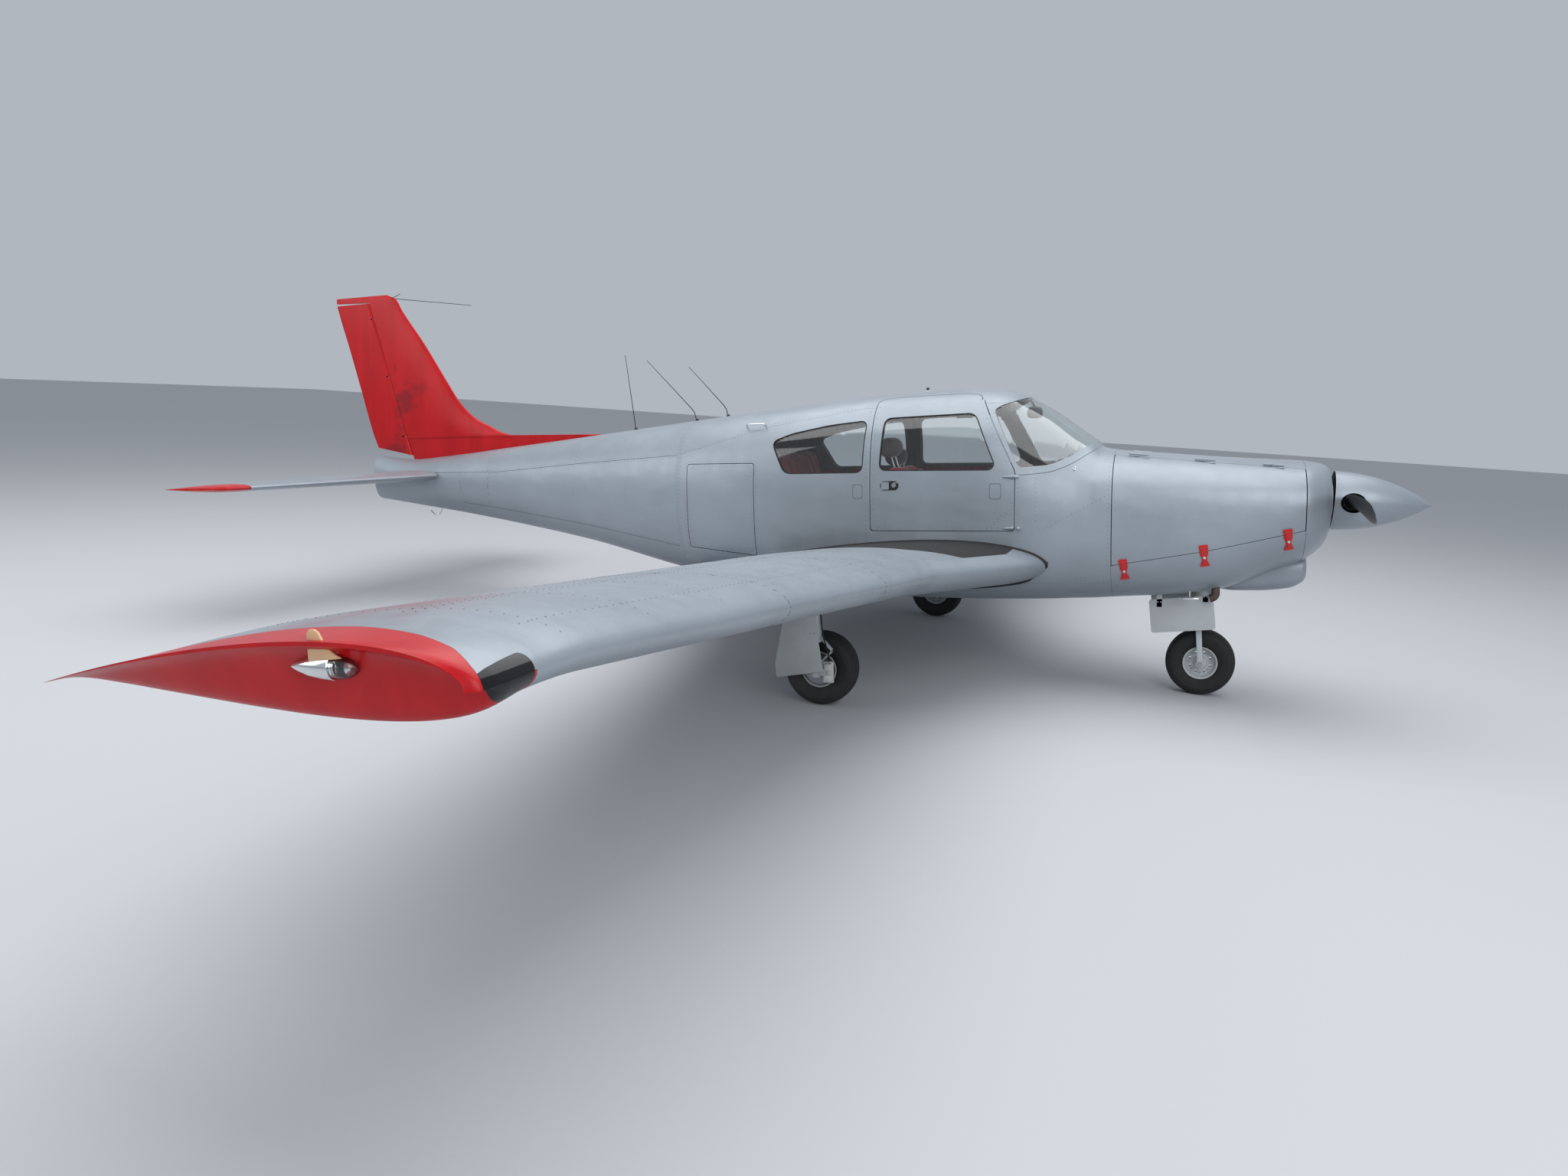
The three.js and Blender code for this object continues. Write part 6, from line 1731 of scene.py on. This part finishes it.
# Control wheels: black moulded horns on a steel shaft through the panel, one a side, with a
# thumb pad on each horn. They stay in the middle.
for name, y in (("left", SEAT_Y), ("right", -SEAT_Y)):
    horn = [(-0.862, y + dy, z) for dy, z in (
        (-0.118, 1.38), (-0.122, 1.35), (-0.116, 1.318), (-0.09, 1.3), (-0.04, 1.298), (0, 1.301),
        (0.04, 1.298), (0.09, 1.3), (0.116, 1.318), (0.122, 1.35), (0.118, 1.38))]
    line = curve(horn, 4)
    sizes = [0.0108 + 0.0018 * abs(sin(i * pi / (len(line) - 1) * 2)) for i in range(len(line))]
    wheel = [pipe(line, sizes, 14), block((0.022, 0.08, 0.04), 0.007, (-0.863, y, 1.3)),
             rod((-0.862, y - 0.118, 1.372), (-0.862, y - 0.118, 1.386), 0.013, 18, 0.003),
             rod((-0.862, y + 0.118, 1.372), (-0.862, y + 0.118, 1.386), 0.013, 18, 0.003)]
    fit("control_wheel_horns_" + name, wheel, BLACK, stands_for="control_wheel_" + name)
    shaft = [rod((-0.716, y, 1.29), (-0.858, y, 1.3), 0.012, 24, 0.001),
             rod((-0.713, y, 1.29), (-0.724, y, 1.2907), 0.024, 28, 0.003)]
    fit("control_shaft_" + name, shaft, STEEL)

# Sun visors and compass: smoked plates hinged at the top of the screen and a small black compass
# on its middle.
visors = [block((0.15, 0.23, 0.004), 0.0018, Matrix.Translation((-1.19, side * 0.16, 1.786))
    @ Matrix.Rotation(radians(14), 4, "Y")) for side in (1, -1)]
fit("sun_visors", visors, (SMOKED[0], "panel_plastic"))
compass = block((0.09, 0.1, 0.07), 0.022, (-0.985, 0, 1.745))
fit("compass", [compass, rod((-0.985, 0, 1.775), (-1.01, 0, 1.826), 0.006, 12)], BLACK)


# Lap seams and rivets: the sheets are lapped and riveted to frames and stringers, so dark lines
# and rows of heads run along the sides, round the doors and over the wing ribs.
# Rivet heads are coloured much darker than the skin: painted shade that picks out each small head.
RIVET_SHADE = grey_paint("rivet_painted_shade", (0.15, 0.168, 0.185, 1), (0.085, 0.095, 0.106, 1)), "skin_paint"
REAR_UPPER = ((-3.259, 1.536), (-4.044, 1.493), (-4.806, 1.44), (-5.163, 1.439), (-5.9, 1.437))
REAR_LOWER = ((-3.259, 0.935), (-4.037, 1.07), (-4.339, 1.111), (-4.762, 1.168), (-5.16, 1.216))
ROWS = (
    ((-1.928, 0.8), (-1.928, 1.775)), ((-1.004, 0.76), (-1.004, 1.385)), ((-0.903, 1.116), (-0.906, 1.359)),
    ((-0.879, 1.053), (-0.499, 1.261)), ((-1.935, 1.815), (-2.6, 1.719), (-3.23, 1.554)),
    ((-0.5, 0.75), (-2.0, 0.75), (-2.731, 0.853), (-3.23, 0.908)), ((-3.226, 0.92), (-3.226, 1.7)),
    ((-3.256, 0.95), (-3.256, 1.7)), ((-3.66, 0.96), (-3.66, 1.66)), ((-4.1, 1.02), (-4.1, 1.62)),
    ((-4.49, 1.08), (-4.49, 1.58)), ((-4.88, 1.16), (-4.88, 1.56)), ((-5.143, 1.2), (-5.143, 1.52)),
    ((-5.181, 1.21), (-5.181, 1.52)), ((-5.42, 1.24), (-5.42, 1.5)), ((-5.96, 1.28), (-5.96, 1.5)),
    tuple((x, z + 0.011) for x, z in REAR_UPPER), tuple((x, z - 0.011) for x, z in REAR_UPPER),
    tuple((x, z + 0.01) for x, z in REAR_LOWER), ((-0.5, 0.8), (-0.5, 1.44)),
)


def ringed(outline, by):
    line = rounded(shifted(outline, by), 0.04)
    return [*line, line[0]]


def heads(rows, side=-1, step=0.026):
    """Seats for rivets along rows given as side views."""
    return [seat_at(x, z, side) for row in rows for x, z in walk(row, step) if z < 1.83]


rivets, seams = [], []
for side in (1, -1):
    rivets += heads(ROWS, side)
    for line in (REAR_UPPER, REAR_LOWER, ((-4.895, 1.16), (-4.895, 1.57)), ((-5.162, 1.2), (-5.162, 1.54))):
        seams.append(pipe([seat_at(x, z, side, -0.0004).translation for x, z in walk(line, 0.06)], 0.0013,
            6))
rivets += heads([ringed(BAGGAGE_DOOR, 0.018)])
fit("body_rivets", studs(rivets, 0.0027, 0.0009, 6), RIVET_SHADE)
on_door = [*heads([((-1.042, 1.2), (-1.184, 1.07)), ((-1.052, 1.175), (-1.16, 1.076))]),
           *heads([ringed(CABIN_DOOR, -0.018)], step=0.034)]
fit("door_rivets", studs(on_door, 0.0027, 0.0009, 6), RIVET_SHADE, "cabin_door")
fit("hatch_rivets", studs(heads([ringed(BAGGAGE_DOOR, -0.016)]), 0.0027, 0.0009, 6), RIVET_SHADE, "baggage_door")


def wing_seat(y, s, high=True):
    here = on_wing(y, s, high)
    along = (on_wing(y, s + 0.01, high) - here).normalized()
    away = along.cross(on_wing(y + 0.01, s, high) - here).normalized()
    away = away if (away.z > 0) == high else -away
    return Matrix.Translation(here) @ Matrix((along, away.cross(along), away)).transposed().to_4x4()


rivets = []
for side in (1, -1):
    for y in (2.7, 3.87):
        for high, shares in ((True, (0, 0.004, 0.015, 0.04, 0.1, 0.2, 0.35, 0.5, 0.65, 0.71)),
                             (False, (0.001, 0.006, 0.02, 0.05, 0.12, 0.3, 0.5, 0.65))):
            seams.append(pipe([on_wing(side * y, s, high, -0.0004) for s in shares], 0.0014, 6))
    for y in (0.95, 1.45, 1.87, 2.3, 2.685, 2.715, 3.1, 3.5, 3.855, 3.885, 4.3, 4.75, 5.15):
        chord = nose_x(y) - rear_x(y)
        count = round(0.66 * chord / 0.034)
        for high in (True, False):
            rivets += [wing_seat(side * y, 0.04 + 0.66 * k / count, high) for k in range(count + 1)]
    for s in (0.1, 0.33, 0.36, 0.7):
        rivets += [wing_seat(side * (1.9 + 0.034 * k), s) for k in range(98)]
fit("wing_rivets", studs(rivets, 0.0026, 0.0008, 6), RIVET_SHADE)
fit("lap_seams", seams, SEAL_AND_SHADE)

# Windshield retainer: a painted strip that laps the glass and the skin along the foot, held by
# screws, and up the side posts, held by small rivets.
ring = shared(body_solid(-0.3, -1.45, -0.0022), slab(shifted(WINDSHIELD, 0.036), -FAR, FAR, corner=0.04))
ring = cut(ring, slab(shifted(WINDSHIELD, -0.006), -FAR, FAR, corner=0.026), door_block(0.006),
           slab(oblong(-0.4, -1.5, 1.785, 2.2), -FAR, FAR),
           body_solid(-0.28, -1.47, 0.0016))
fit("windshield_retainer", ring, PAINT)
for name, side in SIDES:
    edge = [(x, z) for x, z in walk(rounded(shifted(WINDSHIELD, 0.037), 0.04), 0.02)
        if x > -0.995 and z < 1.52]
    fit("retainer_edge_" + name, pipe([seat_at(x, z, side).translation for x, z in edge], 0.0014, 6), SEAL_AND_SHADE)
low_line = [(-0.985, 1.393), (-0.832, 1.408), (-0.722, 1.447), (-0.64, 1.5)]
screws = [seat_at(x, z, side, 0.0014) for side in (1, -1) for x, z in walk(low_line, 0.052)]
posts = [seat_at(x - 0.01, z, side, 0.0012) for side in (1, -1)
         for x, z in walk([(-1.018, 1.43), (-1.172, 1.755)], 0.026)]
fit("windshield_screws", [studs(screws, 0.0052, 0.0012, 14), studs(posts, 0.0028, 0.0009)], STEEL)

# Door fittings: two streamlined hinges on the front edge, a painted paddle and a lock at the rear
# on a black plate that is painted shade for their recess, and the outlines of two access plates.
# The rear one is on the body.
for z in (1.371, 1.071):
    ahead = (-1.0265, -1.004) if z > 1.2 else (-1.008, -0.99)
    at = [seat_at(x, z, -1, 0.004).translation for x in (-1.094, -1.0275, *ahead)]
    length = (at[1] - at[0]).length
    strap = [(0, 0), (0, 0.002), (0.3 * length, 0.006), (0.8 * length, 0.0115), (length, 0.0125),
        (length, 0)]
    fit("door_hinge_strap_%d" % (1000 * z), turned(strap, at[0], at[1] - at[0], 20), PAINT, "cabin_door")
    fit("door_hinge_post_%d" % (1000 * z), rod(at[2], at[3], 0.0125, 20, end=0.007), PAINT)


def pocket(x0, x1, z0, z1, corner, out, thick):
    """A thin plate that lies on the body's right side."""
    seat = seat_at((x0 + x1) / 2, (z0 + z1) / 2, -1, out)
    half, tall = (x1 - x0) / 2, (z1 - z0) / 2
    plate = slab(oblong(-half, half, -tall, tall), -0.002, thick, "Z", corner=corner)
    return placed(plate, seat)


# The recess is a black plate laid on the skin: painted shade, not a real hollow.
fit("handle_recess_shade", pocket(-1.833, -1.719, 1.3, 1.356, 0.026, 0.0, 0.0012), SEAL_AND_SHADE, "cabin_door")
fit("handle_paddle", pocket(-1.827, -1.778, 1.305, 1.351, 0.006, 0.001, 0.0028), PAINT, "cabin_door")
seat = seat_at(-1.747, 1.33, -1, 0.0008)
lock = [rod(seat @ Vector((0, 0, 0)), seat @ Vector((0, 0, 0.0045)), 0.016, 24, end=0.014),
        rod(seat @ Vector((0, 0, 0.004)), seat @ Vector((0, 0, 0.0075)), 0.008, 20, end=0.007),
        block((0.03, 0.006, 0.003), 0.001, seat @ Matrix.Translation((0.014, 0.014, 0.004)))]
fit("handle_lock", lock, STEEL, "cabin_door")
for name, (x0, x1, z0, z1), body in (("front", (-1.17, -1.104, 1.243, 1.333), "cabin_door"),
                                     ("rear", (-2.008, -1.948, 1.252, 1.336), "airframe")):
    rim = beading(oblong(x0, x1, z0, z1), -1, 0.0013, 0.012, -0.0004)
    fit("access_plate_rim_" + name, rim, SEAL_AND_SHADE, body)
    places = [seat_at(x, z) for x in (x0 + 0.008, x1 - 0.008) for z in (z0 + 0.008, z1 - 0.008)]
    fit("access_plate_screws_" + name, studs(places, 0.003), STEEL, body)

# Wing root: a black rubber seal where the wing meets the body, thick round the leading edge, and
# on the right a grit walkway to the door.
for name, side in SIDES:
    line = []
    for high, s in [(False, k / 20) for k in range(8, 0, -1)] + [(True, k / 200)
            for k in (0, 1, 3, 6, 10)] + [(True, k / 25) for k in range(2, 19)]:
        low, far = 0.4, 0.85
        for _ in range(22):
            middle = (low + far) / 2
            low, far = (middle, far) if skin_level(*on_wing(side * middle, s, high)) < 1 else (low, middle)
        line.append(on_wing(side * (low + 0.003), s, high))
    fit("root_seal_" + name, pipe(curve(line, 2), 0.0105, 10), SEAL_AND_SHADE)


def grit():
    made, tree, shader = finish_of("walkway_grit", Roughness=0.95)
    where = node(tree, "TexCoord").outputs["Object"]
    grain = node(tree, "TexNoise", {"Vector": where, "Scale": 520.0, "Detail": 4.0}).outputs[0]
    feed(shader, Base_Color=tint(tree, grain, (0.006, 0.006, 0.007, 1), (0.03, 0.031, 0.033, 1)))
    bump = node(tree, "Bump", {"Height": grain, "Strength": 0.9, "Distance": 0.002})
    feed(shader, Normal=bump.outputs[0])
    return made


WALK = ((-1.03, 0.6), (-1.03, 0.85), (-1.18, 1.38), (-1.46, 1.52), (-2.58, 1.42), (-2.58, 0.6))
path = shared(wing_solid(-1, 0.45, 1.75, 26, 0.0014),
    slab([(x, -y) for x, y in WALK], 0.88, 2, "Z", corner=0.03))
path = cut(path, wing_solid(-1, ROOT_Y, 1.8, 28), body_solid(FRONT, TAIL_END, -0.006))
fit("walkway", path, (grit(), "tyre"))

# Antennas and small fittings: three black whips on the spine, a pair of rods in a V on the fin's
# top, a light on the roof, an air temperature probe, a chrome step handle and tie-down rings.
whips = []
for line in (((-3.792, 1.705), (-3.852, 2.241)),
        ((-3.309, 1.745), (-3.328, 1.82), (-3.35, 1.85), (-3.681, 2.195)),
        ((-3.072, 1.77), (-3.083, 1.83), (-3.1, 1.86), (-3.357, 2.135))):
    route = walk([(x, 0, z) for x, z in line], 0.05)
    whips.append(pipe(route, [0.0034 - 0.0016 * i / (len(route) - 1) for i in range(len(route))], 10))
    foot = Vector((line[0][0], 0, top_z(line[0][0], 0)))
    whips.append(rod(foot - Vector((0, 0, 0.004)), foot + Vector((0, 0, 0.016)), 0.017, 20, end=0.008))
for side in (1, -1):
    whips.append(rod((-5.84, 0, 2.766), (-5.42, side * 0.42, 2.727), 0.0026, 10, end=0.002))
knob = top_z(-1.666, 0)
whips.append(turned([(0, 0), (0, 0.01), (0.012, 0.0095), (0.018, 0.005), (0.019, 0)],
    (-1.666, 0, knob + 0.01), (0, 0, 1), 20))
fit("antennas", whips, BLACK)
fit("roof_light_base", rod((-1.666, 0, knob - 0.003), (-1.666, 0, knob + 0.0105), 0.014, 24, end=0.012),
    WHITE)
chrome = []
seats = [seat_at(x, 1.7, -1, out) for x, out in ((-2.765, -0.002), (-2.76, 0.026), (-2.745, 0.034),
    (-2.645, 0.034), (-2.63, 0.026), (-2.625, -0.002))]
chrome.append(pipe(curve([seat.translation for seat in seats], 3), 0.005, 12))
probe = seat_at(-0.697, 1.406)
chrome += [rod(probe @ Vector((0, 0, -0.002)), probe @ Vector((0, 0, 0.03)), 0.003, 12),
           rod(probe @ Vector((0, 0, 0)), probe @ Vector((0, 0, 0.006)), 0.008, 16, end=0.006)]
chrome.append(turned([(0, 0), (0.004, 0.007), (0.02, 0.0115), (0.07, 0.0115), (0.088, 0.008), (0.1, 0.002),
    (0.102, 0)], (-0.091, -0.3, 0.634), (1, 0, 0), 20))
chrome.append(rod((-0.05, -0.3, 0.64), (-0.05, -0.3, 0.68), 0.005, 10))
loop = [(-5.62, 0, 1.185), (-5.615, 0, 1.14), (-5.585, 0, 1.112), (-5.545, 0, 1.112), (-5.52, 0, 1.135),
    (-5.515, 0, 1.165)]
chrome.append(pipe(curve(loop, 4), 0.0055, 10))
for side in (1, -1):
    eye = on_wing(side * 4.35, 0.34, False)
    hoop = [eye + Vector((0.021 * cos(pi * k / 10), 0, -0.022 + 0.021 * sin(pi * k / 10)))
        for k in range(20)]
    chrome += [pipe(hoop, 0.0042, 8, loop=True),
        rod(eye + Vector((0, 0, 0.004)), eye - Vector((0, 0, 0.006)), 0.011, 16)]
fit("chrome_fittings", chrome, BRIGHT)
fit("tab_horn", [rod((-6.1, 0, 1.416), (-6.104, 0, 1.352), 0.006, 12, end=0.004),
    rod((-6.104, -0.01, 1.356), (-6.104, 0.01, 1.356), 0.007, 14)], BLACK, "trim_tab")
